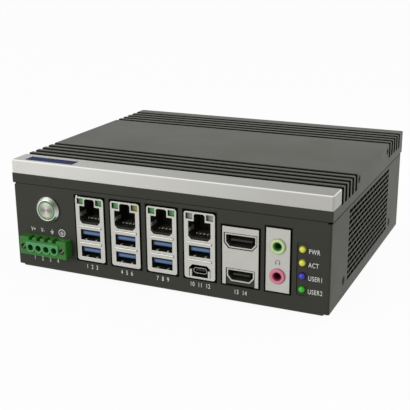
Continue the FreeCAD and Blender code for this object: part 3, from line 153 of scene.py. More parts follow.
def noise(place, scale, detail=2.0, roughness=0.5):
    return place.node("ShaderNodeTexNoise", {}, {
        "Vector": place, "Scale": scale, "Detail": detail, "Roughness": roughness})


def stretched(place, scale):
    """The place with each axis scaled by itself, for a grain that runs one way."""
    return place.node("ShaderNodeMapping", {"vector_type": "POINT"}, {
        "Vector": place, "Scale": scale})


def axes(vector):
    """The three parts of a vector: across, along and up."""
    across = vector.node("ShaderNodeSeparateXYZ", {}, {"Vector": vector}, output="X")
    return across, across.sibling("Y"), across.sibling("Z")


def around(place, centre):
    """Distance from the line through a centre into the panel, and the angle about it."""
    local = place.node("ShaderNodeMapping", {"vector_type": "POINT"}, {
        "Vector": place, "Location": (-centre.x, 0.0, -centre.z)})
    across, _, upward = axes(local)
    return (across * across + upward * upward) ** 0.5, across.maths("ARCTAN2", upward, across)


def facing(place):
    """Which way the surface looks, as its three parts."""
    return axes(place.node("ShaderNodeNewGeometry", {}, {}, output="Normal"))


def rise(value, start, end):
    """Zero before start, one after end, and a smooth step between them."""
    return value.node("ShaderNodeMapRange", {"interpolation_type": "SMOOTHSTEP"}, {
        "Value": value, "From Min": start, "From Max": end})


def wrapped(value, start, end):
    """The value brought into one span by whole steps of that span, for pieces that repeat."""
    return value.node("ShaderNodeMath", {"operation": "WRAP"}, {0: value, 1: end, 2: start})


def blend(factor, first, second):
    """A colour between two others."""
    sockets = {MIX_FACTOR: factor, MIX_FIRST: first, MIX_SECOND: second}
    return factor.node("ShaderNodeMix", {"data_type": "RGBA"}, sockets, output=MIX_COLOUR)


def shaded(colour, brightness):
    """A colour made darker or brighter all over by one value."""
    return brightness.node("ShaderNodeVectorMath", {"operation": "SCALE"}, {
        "Vector": colour, "Scale": brightness})


def soft_edges(place, radius):
    """A normal that rounds the edges over a small radius."""
    return place.node("ShaderNodeBevel", {"samples": BEVEL_SAMPLES}, {"Radius": radius})


def bump(height, distance, strength, normal=None):
    """A normal that follows a fine relief, over another normal where there is one."""
    sockets = {"Height": height, "Distance": distance, "Strength": strength}
    if normal:
        sockets["Normal"] = normal
    return height.node("ShaderNodeBump", {}, sockets)


# Finishes

COAT_FRONT = linear(60, 61, 55)
# A warmer painted tint of light for faces that don't look to the front.
COAT_PAINTED_LIGHT_TINT = linear(61, 62, 51)
# Painted shade for the coat, in grooves, cut-outs and vents.
COAT_PAINTED_SHADE = scaled(COAT_FRONT, 0.06)
# Painted shade over the board's front margin.
BOARD_PAINTED_SHADE = scaled(COAT_FRONT, 0.1)
# How far the painted shade reaches round each cut-out.
CUT_MARGIN = 0.95 * MM
LAMP_WIDTH = 3.8 * MM
TONGUE_WIDTH = 11.2 * MM
TONGUE_HEIGHT = 2.3 * MM
CONTACT_PITCH = 1.1 * MM
JACK_THROAT = 2.25 * MM
SCREW_SLOT = 0.4 * MM
# Painted shade to the right and on the trim bar's top, painted light on its right end, and the
# width of its painted edge highlight.
BAR_RIGHT_SHADE, BAR_TOP_SHADE, BAR_END_LIGHT = 0.26, 0.28, 0.12
BAR_HIGHLIGHT_WIDTH = 0.35 * MM
# Depth of the board's painted front shade.
BOARD_SHADE_DEPTH = 6 * MM


def groove_shadow(place):
    """Painted shade where the cover's grooves go down: on their walls and floors, not on its outer
    faces.
    """
    low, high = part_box("heatsink_cover")
    half_depth = (high.y - low.y) / 2
    _, along, level = axes(place)
    sideways, _, _ = facing(place)
    inside = 1 - rise(abs(along - (low.y + half_depth)), half_depth - 2 * MM, half_depth - 1 * MM)
    below = rise(high.z - level, 0.15 * MM, 0.6 * MM)
    return below * inside * (1 - rise(abs(sideways), 0.4, 0.7))


def cut_shadow(place):
    """Painted shade on the walls of each cut-out in the front panel and in a thin line round it."""
    across, along, level = axes(place)
    nearest = None
    for name in [*SHELLS, "video_shell", "audio_plate"]:
        low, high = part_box(name)
        centre, half = (low + high) / 2, (high - low) / 2
        aside, above = abs(across - centre.x) - half.x, abs(level - centre.z) - half.z
        beside = across.maths("MAXIMUM", aside, above)
        nearest = beside if nearest is None else nearest.maths("MINIMUM", nearest, beside)
    at_front = 1 - rise(along, panel_face() + 2 * MM, panel_face() + 3 * MM)
    return at_front * (1 - rise(nearest, CUT_MARGIN, CUT_MARGIN + 0.3 * MM))


def vent_shadow(place):
    """Painted shade in the side panels' slots and on what lies behind, and a painted shadow line
    under the cover.
    """
    low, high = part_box("right_side_panel")
    across, _, level = axes(place)
    above_flange = rise(level, low.z + 3 * MM, low.z + 4 * MM)
    sunk = rise(high.x - abs(across), 0.04 * MM, 0.15 * MM) * above_flange
    return sunk.maths("MAXIMUM", sunk, rise(level, high.z - 1.0 * MM, high.z - 0.8 * MM))


def powder_coat(name, matt=0.37, painted_shade=None):
    """Matt sprayed coat: fine orange-peel grain, faint clouds, soft edges, painted light and shade.
    """
    material, place = new_material(
        name, Specular_IOR_Level=0.15, Specular_Tint=(1.0, 1.0, 0.9, 1.0))
    grain = noise(place, 1900, detail=3, roughness=0.6)
    clouds = noise(place, 38, detail=3)
    speckle = noise(place, 5200, detail=1)
    _, frontwards, _ = facing(place)
    # Faces that don't look to the front take a warmer painted tint of light.
    colour = blend(rise(abs(frontwards), 0.3, 0.7), COAT_PAINTED_LIGHT_TINT, COAT_FRONT)
    coat = shaded(colour, 0.82 + (clouds + speckle) * 0.18)
    roughness = matt + clouds * 0.12
    # Painted shade where the mask asks for it, also rougher there.
    if painted_shade:
        shade_amount = painted_shade(place)
        coat = blend(shade_amount, coat, COAT_PAINTED_SHADE)
        roughness = roughness + shade_amount * 0.5
    feed(
        material,
        Base_Color=coat,
        Roughness=roughness,
        Normal=bump(grain, 0.05 * MM, 0.35, soft_edges(place, 0.35 * MM)),
    )
    return material


def blasted_silver(name, colour):
    """Bead-blasted aluminium, with painted shade and light across it and painted highlights on its
    edges.
    """
    low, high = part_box("trim_bar")
    material, place = new_material(name, Metallic=0.1, Specular_IOR_Level=0.2)
    grain = noise(place, 3600, detail=2, roughness=0.7)
    clouds = noise(place, 30, detail=2)
    across, along, level = axes(place)
    sideways, _, upwards = facing(place)
    blasted = blend(grain * 0.4 + clouds * 0.6, scaled(colour, 0.93), scaled(colour, 1.06))
    # Painted shade deepening to the right and on the top, and painted light on the right end.
    lit = 1 - rise(across, low.x, high.x) * BAR_RIGHT_SHADE
    lit = lit - rise(upwards, 0.5, 0.9) * BAR_TOP_SHADE + rise(sideways, 0.5, 0.9) * BAR_END_LIGHT
    deeper = shaded(blasted, lit)
    # A painted highlight along the top's front edge and its end edges.
    half_width = (high.x - low.x) / 2
    from_end = abs(abs(across - (low.x + half_width)) - half_width)
    from_edge = along.maths("MINIMUM", abs(along - low.y), from_end)
    from_edge = along.maths("MAXIMUM", from_edge, abs(level - high.z))
    feed(
        material,
        Base_Color=blend(rise(from_edge, BAR_HIGHLIGHT_WIDTH, 2 * BAR_HIGHLIGHT_WIDTH), scaled(colour, 1.4), deeper),
        Roughness=0.44 + clouds * 0.10,
        Normal=bump(grain, 0.02 * MM, 0.25, soft_edges(place, 0.4 * MM)),
    )
    return material


def plated_sheet(name, colour, lines=(40, 40, 2600), shaded_sides=False):
    """Nickel-plated sheet with faint rolling lines, and where asked, painted shade on faces that
    don't look to the front.
    """
    material, place = new_material(name, Metallic=0.7, Specular_IOR_Level=0.5)
    streaks = noise(stretched(place, lines), 1.0, detail=4, roughness=0.65)
    smudges = noise(place, 160, detail=3)
    plate = blend(streaks * 0.6 + smudges * 0.4, scaled(colour, 0.86), scaled(colour, 1.10))
    if shaded_sides:
        # Painted shade on every face that doesn't look to the front, such as the walls inside the
        # openings.
        _, frontwards, _ = facing(place)
        plate = blend(rise(abs(frontwards), 0.4, 0.7), scaled(colour, 0.04), plate)
    feed(
        material,
        Base_Color=plate,
        Roughness=0.24 + smudges * 0.16 + streaks * 0.06,
        Normal=bump(streaks, 0.02 * MM, 0.2, soft_edges(place, 0.15 * MM)),
    )
    return material


def sector(angle, bearing, sharpness):
    """One at a bearing about the axis, falling to zero a quarter turn to each side."""
    towards = angle.maths("COSINE", angle - math.radians(bearing))
    return towards.maths("MAXIMUM", towards, 0.0) ** sharpness


def turned_steel(name, centre, dark, bright, base, painted_reflections):
    """Lathe-turned steel: fine rings about the button's axis, and painted reflections in bright and
    dark lobes.
    """
    material, place = new_material(name, Metallic=0.9)
    radius, angle = around(place, centre)
    rings = radius.node("ShaderNodeTexNoise", {"noise_dimensions": "1D"}, {
        "W": radius, "Scale": 9000, "Detail": 3})
    # Painted reflections: bright and dark lobes at bearings about the axis, over the rings.
    reflection_mix = rings * 0.3 + base
    for bearing, sharpness, strength in painted_reflections:
        reflection_mix = reflection_mix + sector(angle, bearing, sharpness) * strength
    feed(
        material,
        Base_Color=blend(reflection_mix, dark, bright),
        Roughness=0.22 + rings * 0.16,
        Normal=bump(rings, 0.015 * MM, 0.25, soft_edges(place, 0.25 * MM)),
    )
    return material


def moulded(name, colour, roughness=0.42, specular=0.4):
    """Injection-moulded plastic with a light spark-eroded grain."""
    material, place = new_material(name, Specular_IOR_Level=specular)
    grain = noise(place, 4200, detail=2)
    clouds = noise(place, 120, detail=2)
    feed(
        material,
        Base_Color=blend(clouds * 0.7 + grain * 0.3, scaled(colour, 0.86), scaled(colour, 1.14)),
        Roughness=roughness - 0.05 + clouds * 0.12,
        Normal=bump(grain, 0.03 * MM, 0.2, soft_edges(place, 0.12 * MM)),
    )
    return material


def in_one_stack(across):
    """The place across within a port stack, from its middle."""
    first, second = (middle(name) for name in SHELLS[:2])
    half = (second.x - first.x) / 2
    return wrapped(across - first.x, -half, half)


def port_tongue(name, colour, deep):
    """A port's moulded tongue, with painted shade along its edges and left end, where the shell
    shades it.
    """
    low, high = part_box("type_a_tongues")
    material, place = new_material(name, Specular_IOR_Level=0.3)
    across, _, level = axes(place)
    below_top = wrapped(high.z - level, -0.1 * MM, high.z - low.z - TONGUE_HEIGHT - 0.1 * MM)
    from_left = in_one_stack(across) + TONGUE_WIDTH / 2
    # Share of each tongue out of the painted shade, which falls on its top and bottom edges and
    # left end.
    band = rise(below_top, 0.0, 1.1 * MM) * (1 - rise(below_top, 1.3 * MM, TONGUE_HEIGHT) * 0.75)
    clouds = noise(place, 240, detail=2)
    lit_share = band * rise(from_left, 0.0, 1.6 * MM) * (0.9 + clouds * 0.2)
    feed(
        material,
        Base_Color=blend(lit_share, deep, colour),
        Roughness=0.36 + clouds * 0.12,
    )
    return material


def jack_collar(name, collar, bore_shade, node):
    """A coloured jack collar, with painted shade in its bore and along its outer rim."""
    low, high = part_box(node)
    outer = (high.x - low.x) / 2
    material, place = new_material(name, Specular_IOR_Level=0.4)
    radius, _ = around(place, (low + high) / 2)
    grain = noise(place, 2600, detail=2)
    ring = blend(grain, scaled(collar, 0.92), scaled(collar, 1.06))
    # Painted shade along the collar's outer rim.
    rim_shaded = blend(rise(radius, outer - 0.45 * MM, outer - 0.1 * MM), ring, scaled(collar, 0.55))
    # Painted shade fills the bore.
    feed(
        material,
        Base_Color=blend(rise(radius, JACK_THROAT, JACK_THROAT + 0.35 * MM), bore_shade, rim_shaded),
        Roughness=0.3 + grain * 0.15,
        Normal=bump(grain, 0.02 * MM, 0.15, soft_edges(place, 0.2 * MM)),
    )
    return material


def tinted_resin(name, colour):
    """Clear-cast lamp resin: glossy, with painted shade on each lamp's left, where the wall of its
    opening shades it.
    """
    outer = middle(SHELLS[0]).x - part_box("port_lamps_green")[0].x
    material, place = new_material(name, Specular_IOR_Level=0.5, Coat_Roughness=0.08)
    across, _, _ = axes(place)
    in_lamp = wrapped(in_one_stack(across), 0.0, 2 * outer - LAMP_WIDTH) - (outer - LAMP_WIDTH)
    depth = noise(place, 420, detail=2)
    resin = blend(depth, scaled(colour, 0.85), scaled(colour, 1.15))
    # Share of each lamp out of the painted shade on its left.
    clear = rise(in_lamp, 0.1 * LAMP_WIDTH, 0.7 * LAMP_WIDTH)
    feed(
        material,
        Base_Color=blend(clear, scaled(colour, 0.3), resin),
        Roughness=0.16 + depth * 0.14,
        Coat_Weight=0.2 + depth * 0.2,
    )
    return material


def lamp_lens(name, colour):
    """A status lamp's dome: coloured resin, with painted shade towards its rim."""
    first, second = middle("status_led_green"), middle("status_led_blue")
    low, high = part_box("status_led_green")
    outer = (high.x - low.x) / 2
    pitch = second.z - first.z
    material, place = new_material(name, Specular_IOR_Level=0.35, Coat_Roughness=0.1)
    across, _, upward = axes(place)
    aside = across - first.x
    offset = wrapped(upward - first.z, -pitch / 2, pitch / 2)
    radius = (aside * aside + offset * offset) ** 0.5
    depth = noise(place, 700, detail=2)
    body = blend(depth, scaled(colour, 0.92), scaled(colour, 1.10))
    # Painted shade darkens the dome towards its rim.
    feed(
        material,
        Base_Color=blend(rise(radius, 0.62 * outer, outer), body, scaled(colour, 0.30)),
        Roughness=0.2 + depth * 0.12,
        Coat_Weight=0.08 + depth * 0.16,
    )
    return material


def lit_ring(name, pale, deep, node):
    """The button's light guide: pale beside the cap and a deeper green at its outer edge."""
    low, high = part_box(node)
    outer = (high.x - low.x) / 2
    material, place = new_material(name, Specular_IOR_Level=0.5)
    radius, _ = around(place, (low + high) / 2)
    depth = noise(place, 900, detail=2)
    feed(
        material,
        Base_Color=blend(rise(radius + depth * (0.1 * MM), 0.86 * outer, 0.95 * outer), pale, deep),
        Roughness=0.25 + depth * 0.15,
    )
    return material


def plated_contact(name, colour):
    """Bright plating with fine marks of wear."""
    material, place = new_material(name, Metallic=1.0)
    wipe = noise(stretched(place, (3000, 200, 200)), 1.0, detail=2)
    feed(
        material,
        Base_Color=blend(wipe, scaled(colour, 0.8), scaled(colour, 1.15)),
        Roughness=0.2 + wipe * 0.2,
    )
    return material


def jack_contacts(name, tip_glint, shank):
    """Contacts of the network jacks: a painted glint on the front tips of every second one, with
    faint wipe marks, and the rest darker.
    """
    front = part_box("lan_contacts")[0].y
    material, place = new_material(name, Metallic=0.2)
    across, along, _ = axes(place)
    wipe = noise(stretched(place, (3000, 200, 200)), 1.0, detail=2)
    # The front tips of every second contact carry a painted glint; further back and on the others
    # it is darker.
    pair = wrapped(in_one_stack(across), 0.0, 2 * CONTACT_PITCH)
    dull = rise(along, front + 0.6 * MM, front + 2.0 * MM)
    dull = dull.maths("MAXIMUM", dull, rise(pair, 0.95 * CONTACT_PITCH, 1.05 * CONTACT_PITCH))
    glinting = blend(wipe, scaled(tip_glint, 0.9), tip_glint)
    feed(
        material,
        Base_Color=blend(dull, glinting, shank),
        Roughness=0.25 + wipe * 0.2,
    )
    return material


def slotted_screw(name, colour, slot_colour, node):
    """Blackened screw heads in a pair, each with a bright slot across it."""
    low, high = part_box(node)
    radius = (high.z - low.z) / 2
    spacing = high.x - low.x - 2 * radius
    material, place = new_material(name, Metallic=0.3, Specular_IOR_Level=0.2)
    across, _, level = axes(place)
    aside = wrapped(across - (low.x + radius), -spacing / 2, spacing / 2)
    diagonal = abs(aside - (level - (low.z + radius)))
    smudges = noise(place, 900, detail=3)
    head = blend(smudges, scaled(colour, 0.7), scaled(colour, 1.3))
    feed(
        material,
        Base_Color=blend(rise(diagonal, SCREW_SLOT, 1.5 * SCREW_SLOT), slot_colour, head),
        Roughness=0.4 + smudges * 0.2,
        Normal=bump(smudges, 0.02 * MM, 0.2, soft_edges(place, 0.1 * MM)),
    )
    return material


def black_rubber(name, colour):
    """A matt, grainy surface with a faint bloom."""
    material, place = new_material(name, Specular_IOR_Level=0.25)
    grain = noise(place, 2400, detail=3)
    bloom = noise(place, 150, detail=2)
    feed(
        material,
        Base_Color=blend(bloom, scaled(colour, 0.8), scaled(colour, 1.5)),
        Roughness=0.7 + bloom * 0.2,
        Normal=bump(grain, 0.05 * MM, 0.4),
    )
    return material


def board_lacquer(name, colour):
    """Green solder resist over paler copper tracks, with painted shade over its front margin under
    the front wall.
    """
    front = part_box("mainboard")[0].y
    material, place = new_material(name, Specular_IOR_Level=0.5)
    tracks = place.node("ShaderNodeTexBrick", {"offset": 0.37, "squash": 1.0}, {
        "Vector": place, "Scale": 260.0,
        "Mortar Size": 0.03, "Brick Width": 1.7, "Row Height": 0.45,
        "Color1": (0, 0, 0, 1), "Color2": (0.1, 0.1, 0.1, 1), "Mortar": (1, 1, 1, 1)})
    clouds = noise(place, 90, detail=2)
    _, along, _ = axes(place)
    green = blend(tracks * 0.6 + clouds * 0.3, scaled(colour, 0.75), scaled(colour, 1.7))
    # Painted shade over the front margin, where the front wall shades the board.
    behind = rise(along - front, BOARD_SHADE_DEPTH, BOARD_SHADE_DEPTH + 1 * MM)
    feed(
        material,
        Base_Color=blend(behind, BOARD_PAINTED_SHADE, green),
        Roughness=0.3 + clouds * 0.15,
    )
    return material


def screen_ink(name, colour):
    """Silk-screened ink, a little uneven in its cover."""
    material, place = new_material(name, Specular_IOR_Level=0.3)
    cover = noise(place, 3000, detail=2)
    feed(
        material,
        Base_Color=blend(cover, scaled(colour, 0.82), scaled(colour, 1.08)),
        Roughness=0.5 + cover * 0.2,
    )
    return material


def dress_nodes():
    """Give every solid its finish."""
    button = middle("power_button_bezel")
    # The dark and bright ends of the painted reflections on the button's steel.
    steel_shade, steel = linear(108, 106, 102), linear(216, 212, 205)
    steel_highlight = linear(255, 255, 252)
    nickel, plate = linear(198, 197, 190), linear(191, 190, 183)
    finishes = [
        (powder_coat("cover_coat", 0.34, groove_shadow), ["heatsink_cover"]),
        (powder_coat("case_coat", painted_shade=cut_shadow), ["chassis_tray"]),
        (powder_coat("side_coat", painted_shade=vent_shadow), SIDES),
        (blasted_silver("trim_silver", linear(230, 229, 223)), ["trim_bar"]),
        (moulded("inlay_film", linear(34, 48, 92), roughness=0.6, specular=0.05),
         ["trim_bar_inlay"]),
        (black_rubber("black_screw", linear(38, 38, 34)),
         ["side_panel_screws", "bottom_cover_screws", "heatsink_side_screws"]),
        (slotted_screw("flange_screw", linear(48, 46, 40), linear(150, 145, 128),
                       "terminal_flange_screws"),
         ["terminal_flange_screws"]),
        (plated_sheet("clamp_screw", linear(40, 46, 38)), ["terminal_clamp_screws"]),
        (plated_sheet("zinc_screw", linear(190, 188, 180)),
         ["trim_bar_screws", "board_screws", "mount_nuts"]),
        (plated_sheet("milled_aluminium", linear(112, 113, 111), lines=(2600, 40, 40)),
         ["corner_posts", "heat_block"]),
        (black_rubber("foot_rubber", linear(28, 28, 28)), ["rubber_feet"]),
        (board_lacquer("board_lacquer", linear(22, 78, 44)), ["mainboard", "storage_card"]),
        (plated_contact("turned_brass", linear(200, 165, 90)), ["board_standoffs"]),
        (plated_sheet("chip_lid", linear(170, 170, 168)), ["processor", "coin_cell"]),
        (black_rubber("thermal_pad", linear(120, 124, 130)), ["thermal_pad"]),
        (moulded("socket_black", linear(34, 34, 29), roughness=0.5, specular=0.3),
         ["storage_socket", "coin_cell_holder", "type_c_tongue", "audio_jack_body", *INSERTS]),
        (moulded("video_black", linear(58, 58, 51), roughness=0.5, specular=0.2),
         ["video_socket_upper", "video_socket_lower"]),
        (powder_coat("strip_grey"), ["led_holder"]),
        (plated_sheet("port_nickel", nickel, shaded_sides=True), SHELLS),
        (plated_sheet("spring_nickel", nickel), ["port_shield_springs"]),
        (plated_sheet("oval_nickel", linear(172, 171, 165), shaded_sides=True), ["type_c_shell"]),
        (plated_sheet("plate_nickel", plate, shaded_sides=True),
         ["video_shell", "video_socket_rims", "audio_plate"]),
        (port_tongue("tongue_blue", linear(102, 138, 180), linear(16, 32, 66)), ["type_a_tongues"]),
        (jack_contacts("contact_gold", linear(255, 253, 246), linear(112, 106, 90)),
         ["lan_contacts"]),
        (tinted_resin("lamp_green", linear(66, 160, 66)), ["port_lamps_green"]),
        (tinted_resin("lamp_amber", linear(150, 142, 60)), ["port_lamp_amber"]),
        (tinted_resin("lamp_clear", linear(150, 150, 145)), ["port_lamps_clear"]),
        (jack_collar("jack_green", linear(212, 232, 172), linear(60, 130, 62), "audio_jack_green"),
         ["audio_jack_green"]),
        (jack_collar("jack_pink", linear(232, 138, 158), linear(125, 30, 60), "audio_jack_pink"),
         ["audio_jack_pink"]),
        (lamp_lens("led_yellow", linear(242, 238, 80)), ["status_leds_yellow"]),
        (lamp_lens("led_blue", linear(72, 56, 196)), ["status_led_blue"]),
        (lamp_lens("led_green", linear(52, 200, 34)), ["status_led_green"]),
        (moulded("plug_green", linear(46, 118, 38)), ["terminal_plug_body", "terminal_header"]),
        (moulded("plug_face_green", linear(84, 156, 98)), ["terminal_plug_face"]),
        # Bearing, sharpness and strength of each painted reflection on the bezel and cap.
        (turned_steel("bezel_steel", button, steel_shade, steel_highlight, 0.22,
                      [(108, 4, 0.9), (40, 6, -0.4), (330, 4, 0.22)]),
         ["power_button_bezel", "power_button_nut"]),
        (turned_steel("cap_steel", button, steel_shade, steel, 0.0, [(92, 2, 0.7), (272, 2, 0.7)]),
         ["power_button_cap"]),
        (lit_ring("button_light", linear(172, 214, 140), linear(60, 140, 72),
                  "power_button_light_ring"),
         ["power_button_light_ring"]),
    ]
    for material, names in finishes:
        for name in names:
            slots = nodes[name].data.materials
            slots.clear()
            slots.append(material)


# Vented side panels

VENT_LENGTH, VENT_HEIGHT = 6.7 * MM, 2.1 * MM
VENT_PITCH, VENT_ROW_PITCH = 7.1 * MM, 3.1 * MM
VENT_COLUMNS, VENT_ROW_PAIRS = 13, 6
VENT_RISE = 1.9 * MM
VENT_CORNER = 0.4 * MM
CORNER_STEPS = 3
CUTTER_MARGIN = 2 * MM
MERGE_DISTANCE = 0.001 * MM


def deselected():
    """Leave nothing selected, so that the next operator acts on its own piece alone."""
    bpy.ops.object.select_all(action="DESELECT")


def slot_rows(along, level, columns, rows, length=VENT_LENGTH, pitch=VENT_PITCH):
    """Cutters for every second row of slots, right through both sides, from its first slot."""
    width = 2 * (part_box("right_side_panel")[1].x + CUTTER_MARGIN)
    deselected()
    bpy.ops.mesh.primitive_cube_add(size=1.0)
    slots = bpy.context.object
    mesh = slots.data
    size = Matrix.Diagonal((width, length, VENT_HEIGHT, 1.0))
    mesh.transform(Matrix.Translation((0, along, level)) @ size)
    bpy.ops.object.mode_set(mode="EDIT")
    bpy.ops.mesh.select_mode(type="EDGE")
    bpy.ops.mesh.select_all(action="DESELECT")
    bpy.ops.object.mode_set(mode="OBJECT")
    for edge in mesh.edges:
        first, second = (mesh.vertices[corner].co for corner in edge.vertices)
        edge.select = abs(first.x - second.x) > width / 2
    bpy.ops.object.mode_set(mode="EDIT")
    bpy.ops.mesh.bevel(offset=VENT_CORNER, segments=CORNER_STEPS)
    bpy.ops.mesh.select_mode(type="VERT")
    bpy.ops.object.mode_set(mode="OBJECT")
    for count, step in ((columns, (0, pitch, 0)), (rows, (0, 0, 2 * VENT_ROW_PITCH))):
        repeat = slots.modifiers.new("repeat", "ARRAY")
        repeat.count = count
        repeat.use_relative_offset = False
        repeat.use_constant_offset = True
        repeat.constant_offset_displace = step
        bpy.ops.object.modifier_apply(modifier=repeat.name)
    return slots


def vented_sides():
    """The side panels with wide slots, and short ones at the ends of every second row."""
    low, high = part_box("right_side_panel")
    centre = (low + high) / 2
    level = centre.z + VENT_RISE
    cutters = []
    for columns, rows in ((VENT_COLUMNS, VENT_ROW_PAIRS + 1), (VENT_COLUMNS - 1, VENT_ROW_PAIRS)):
        first = centre.y - (columns - 1) * VENT_PITCH / 2
        cutters.append(slot_rows(first, level - (rows - 1) * VENT_ROW_PITCH, columns, rows))
    end_length = VENT_LENGTH - VENT_PITCH / 2
    reach = (VENT_COLUMNS - 1) * VENT_PITCH + VENT_LENGTH - end_length
    lowest = level - (VENT_ROW_PAIRS - 1) * VENT_ROW_PITCH
    cutters.append(slot_rows(centre.y - reach / 2, lowest, 2, VENT_ROW_PAIRS, end_length, reach))
    for name in SIDES:
        panel = bpy.data.objects.new(name.replace("side", "vented"), nodes[name].data.copy())
        bpy.context.collection.objects.link(panel)
        deselected()
        panel.select_set(True)
        bpy.context.view_layer.objects.active = panel
        bpy.ops.object.mode_set(mode="EDIT")
        bpy.ops.mesh.select_all(action="SELECT")
        bpy.ops.mesh.remove_doubles(threshold=MERGE_DISTANCE)
        bpy.ops.object.mode_set(mode="OBJECT")
        for slots in cutters:
            cut = panel.modifiers.new("cut", "BOOLEAN")
            cut.operation = "DIFFERENCE"
            cut.solver = "EXACT"
            cut.object = slots
            bpy.ops.object.modifier_apply(modifier=cut.name)
        bpy.ops.object.shade_flat()
        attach(panel, CHASSIS)
        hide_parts(name)
    for slots in cutters:
        bpy.data.objects.remove(slots)


# Printed marks

TEXT_SIZE = 3.6 * MM
TEXT_NARROWING = 0.73
TEXT_SPACING = 1.1
TEXT_WEIGHT = 0.01 * MM
INK_LIFT = 0.03 * MM
INK_THICKNESS = 0.01 * MM
INK_LINE = 0.38 * MM
RING_STEPS = 48
PORT_FIGURES_DROP, VIDEO_FIGURES_DROP = 3.7 * MM, 4.1 * MM
WORD_GAP, WORD_DROP = 0.3 * MM, 0.8 * MM
PLUG_FIRST_WAY, PLUG_WAY_PITCH = 5.65 * MM, 5.28 * MM
PLUG_FIGURES_DROP, PLUG_SIGNS_RISE = 4.0 * MM, 3.1 * MM
VOLTAGE_SIGNS = (("V+", 5.9 * MM), ("V-", 12.3 * MM))
EARTH_SIGN, RINGED_EARTH_SIGN = 18.7 * MM, 25.3 * MM
EARTH_RING = 2.25 * MM
EARTH_STEM = 1.3 * MM
EARTH_BARS, EARTH_BAR_PITCH = (2.3 * MM, 1.5 * MM, 0.7 * MM), 0.66 * MM
HEADBAND_RADIUS, HEADBAND_LOWEST, HEADBAND_DROP = 1.3 * MM, -0.4 * MM, 0.5 * MM
EAR_WIDTH, EAR_HEIGHT, EAR_ASIDE, EAR_DROP = 0.6 * MM, 1.3 * MM, 1.0 * MM, 0.7 * MM


def upright(mark, across, face, level):
    """Stand a flat mark up against a face that looks to the front, with its middle at a place."""
    turn = Matrix.Rotation(math.radians(90), 4, "X")
    mark.data.transform(Matrix.Translation((across, face - INK_LIFT, level)) @ turn)
    return mark


def printed_text(body, across, face, level, align="CENTER"):
    """Letters or figures, a little narrower than the font's own."""
    deselected()
    bpy.ops.object.text_add(location=(0, 0, 0))
    mark = bpy.context.object
    mark.data.body = body
    mark.data.size = TEXT_SIZE
    mark.data.space_character = TEXT_SPACING
    mark.data.align_x = align
    mark.data.align_y = "CENTER"
    mark.data.extrude = INK_THICKNESS
    mark.data.offset = TEXT_WEIGHT
    bpy.ops.object.convert(target="MESH")
    mark = bpy.context.object
    mark.data.transform(Matrix.Diagonal((TEXT_NARROWING, 1.0, 1.0, 1.0)))
    return upright(mark, across, face, level)


def printed_ring(radius, across, face, level, lowest=None):
    """A ring one line wide, or only the part of it above a height over its middle."""
    deselected()
    bpy.ops.mesh.primitive_circle_add(vertices=RING_STEPS, radius=radius, fill_type="NGON")
    bpy.ops.object.mode_set(mode="EDIT")
    bpy.ops.mesh.inset(thickness=INK_LINE)
    bpy.ops.mesh.delete(type="FACE")
    bpy.ops.mesh.select_all(action="SELECT")
    if lowest is not None:
        bpy.ops.mesh.bisect(plane_co=(0, lowest, 0), plane_no=(0, 1, 0), clear_inner=True)
    bpy.ops.object.mode_set(mode="OBJECT")
    return upright(bpy.context.object, across, face, level)


def printed_bar(width, height, across, face, level):
    """A straight bar with rounded corners."""
    deselected()
    bpy.ops.mesh.primitive_plane_add(size=1.0)
    mark = bpy.context.object
    mark.data.transform(Matrix.Diagonal((width, height, 1.0, 1.0)))
    bpy.ops.object.mode_set(mode="EDIT")
    bpy.ops.mesh.select_all(action="SELECT")
    bpy.ops.mesh.bevel(offset=0.25 * min(width, height), segments=CORNER_STEPS, affect="VERTICES")
    bpy.ops.object.mode_set(mode="OBJECT")
    return upright(mark, across, face, level)


def joined(marks, name, ink):
    """Make marks one piece of the case, in one ink."""
    deselected()
    for mark in marks:
        mark.select_set(True)
    bpy.context.view_layer.objects.active = marks[0]
    bpy.ops.object.join()
    piece = bpy.context.object
    piece.name = piece.data.name = name
    piece.data.materials.clear()
    piece.data.materials.append(ink)
    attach(piece, CHASSIS)


def earth_mark(across, face, level):
    """The earth sign: one stem and three bars that get shorter."""
    marks = [printed_bar(INK_LINE, EARTH_STEM, across, face, level + EARTH_STEM / 2)]
    for step, width in enumerate(EARTH_BARS):
        marks.append(printed_bar(width, INK_LINE, across, face, level - step * EARTH_BAR_PITCH))
    return marks


def panel_print():
    """Figures under the ports, signs round the plug and words beside the lamps."""
    face = panel_face()
    marks = []
    shell_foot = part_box(SHELLS[0])[0].z
    for stack, shell in zip(STACKS, SHELLS):
        first = 3 * stack - 2
        figures = f"{first}  {first + 1}  {first + 2}"
        marks.append(printed_text(figures, middle(shell).x, face, shell_foot - PORT_FIGURES_DROP))
    video = middle("video_shell").x
    marks.append(printed_text("13  14", video, face, shell_foot - VIDEO_FIGURES_DROP))

    lamp, next_lamp = middle("status_led_green"), middle("status_led_blue")
    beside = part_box("led_holder")[1].x + WORD_GAP
    for count, word in enumerate(("USER2", "USER1", "ACT", "PWR")):
        level = lamp.z + count * (next_lamp.z - lamp.z) - WORD_DROP
        marks.append(printed_text(word, beside, face, level, align="LEFT"))

    plug_low, plug_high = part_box("terminal_plug_body")
    for way in range(4):
        across = plug_low.x + PLUG_FIRST_WAY + PLUG_WAY_PITCH * way
        marks.append(printed_text(str(way + 1), across, face, plug_low.z - PLUG_FIGURES_DROP))
    above_plug = plug_high.z + PLUG_SIGNS_RISE
    for sign, across in VOLTAGE_SIGNS:
        marks.append(printed_text(sign, plug_low.x + across, face, above_plug))
    marks.extend(earth_mark(plug_low.x + EARTH_SIGN, face, above_plug))
    ringed = plug_low.x + RINGED_EARTH_SIGN
    marks.extend(earth_mark(ringed, face, above_plug))
    marks.append(printed_ring(EARTH_RING, ringed, face, above_plug))
    joined(marks, "panel_print", screen_ink("panel_ink", linear(246, 246, 240)))


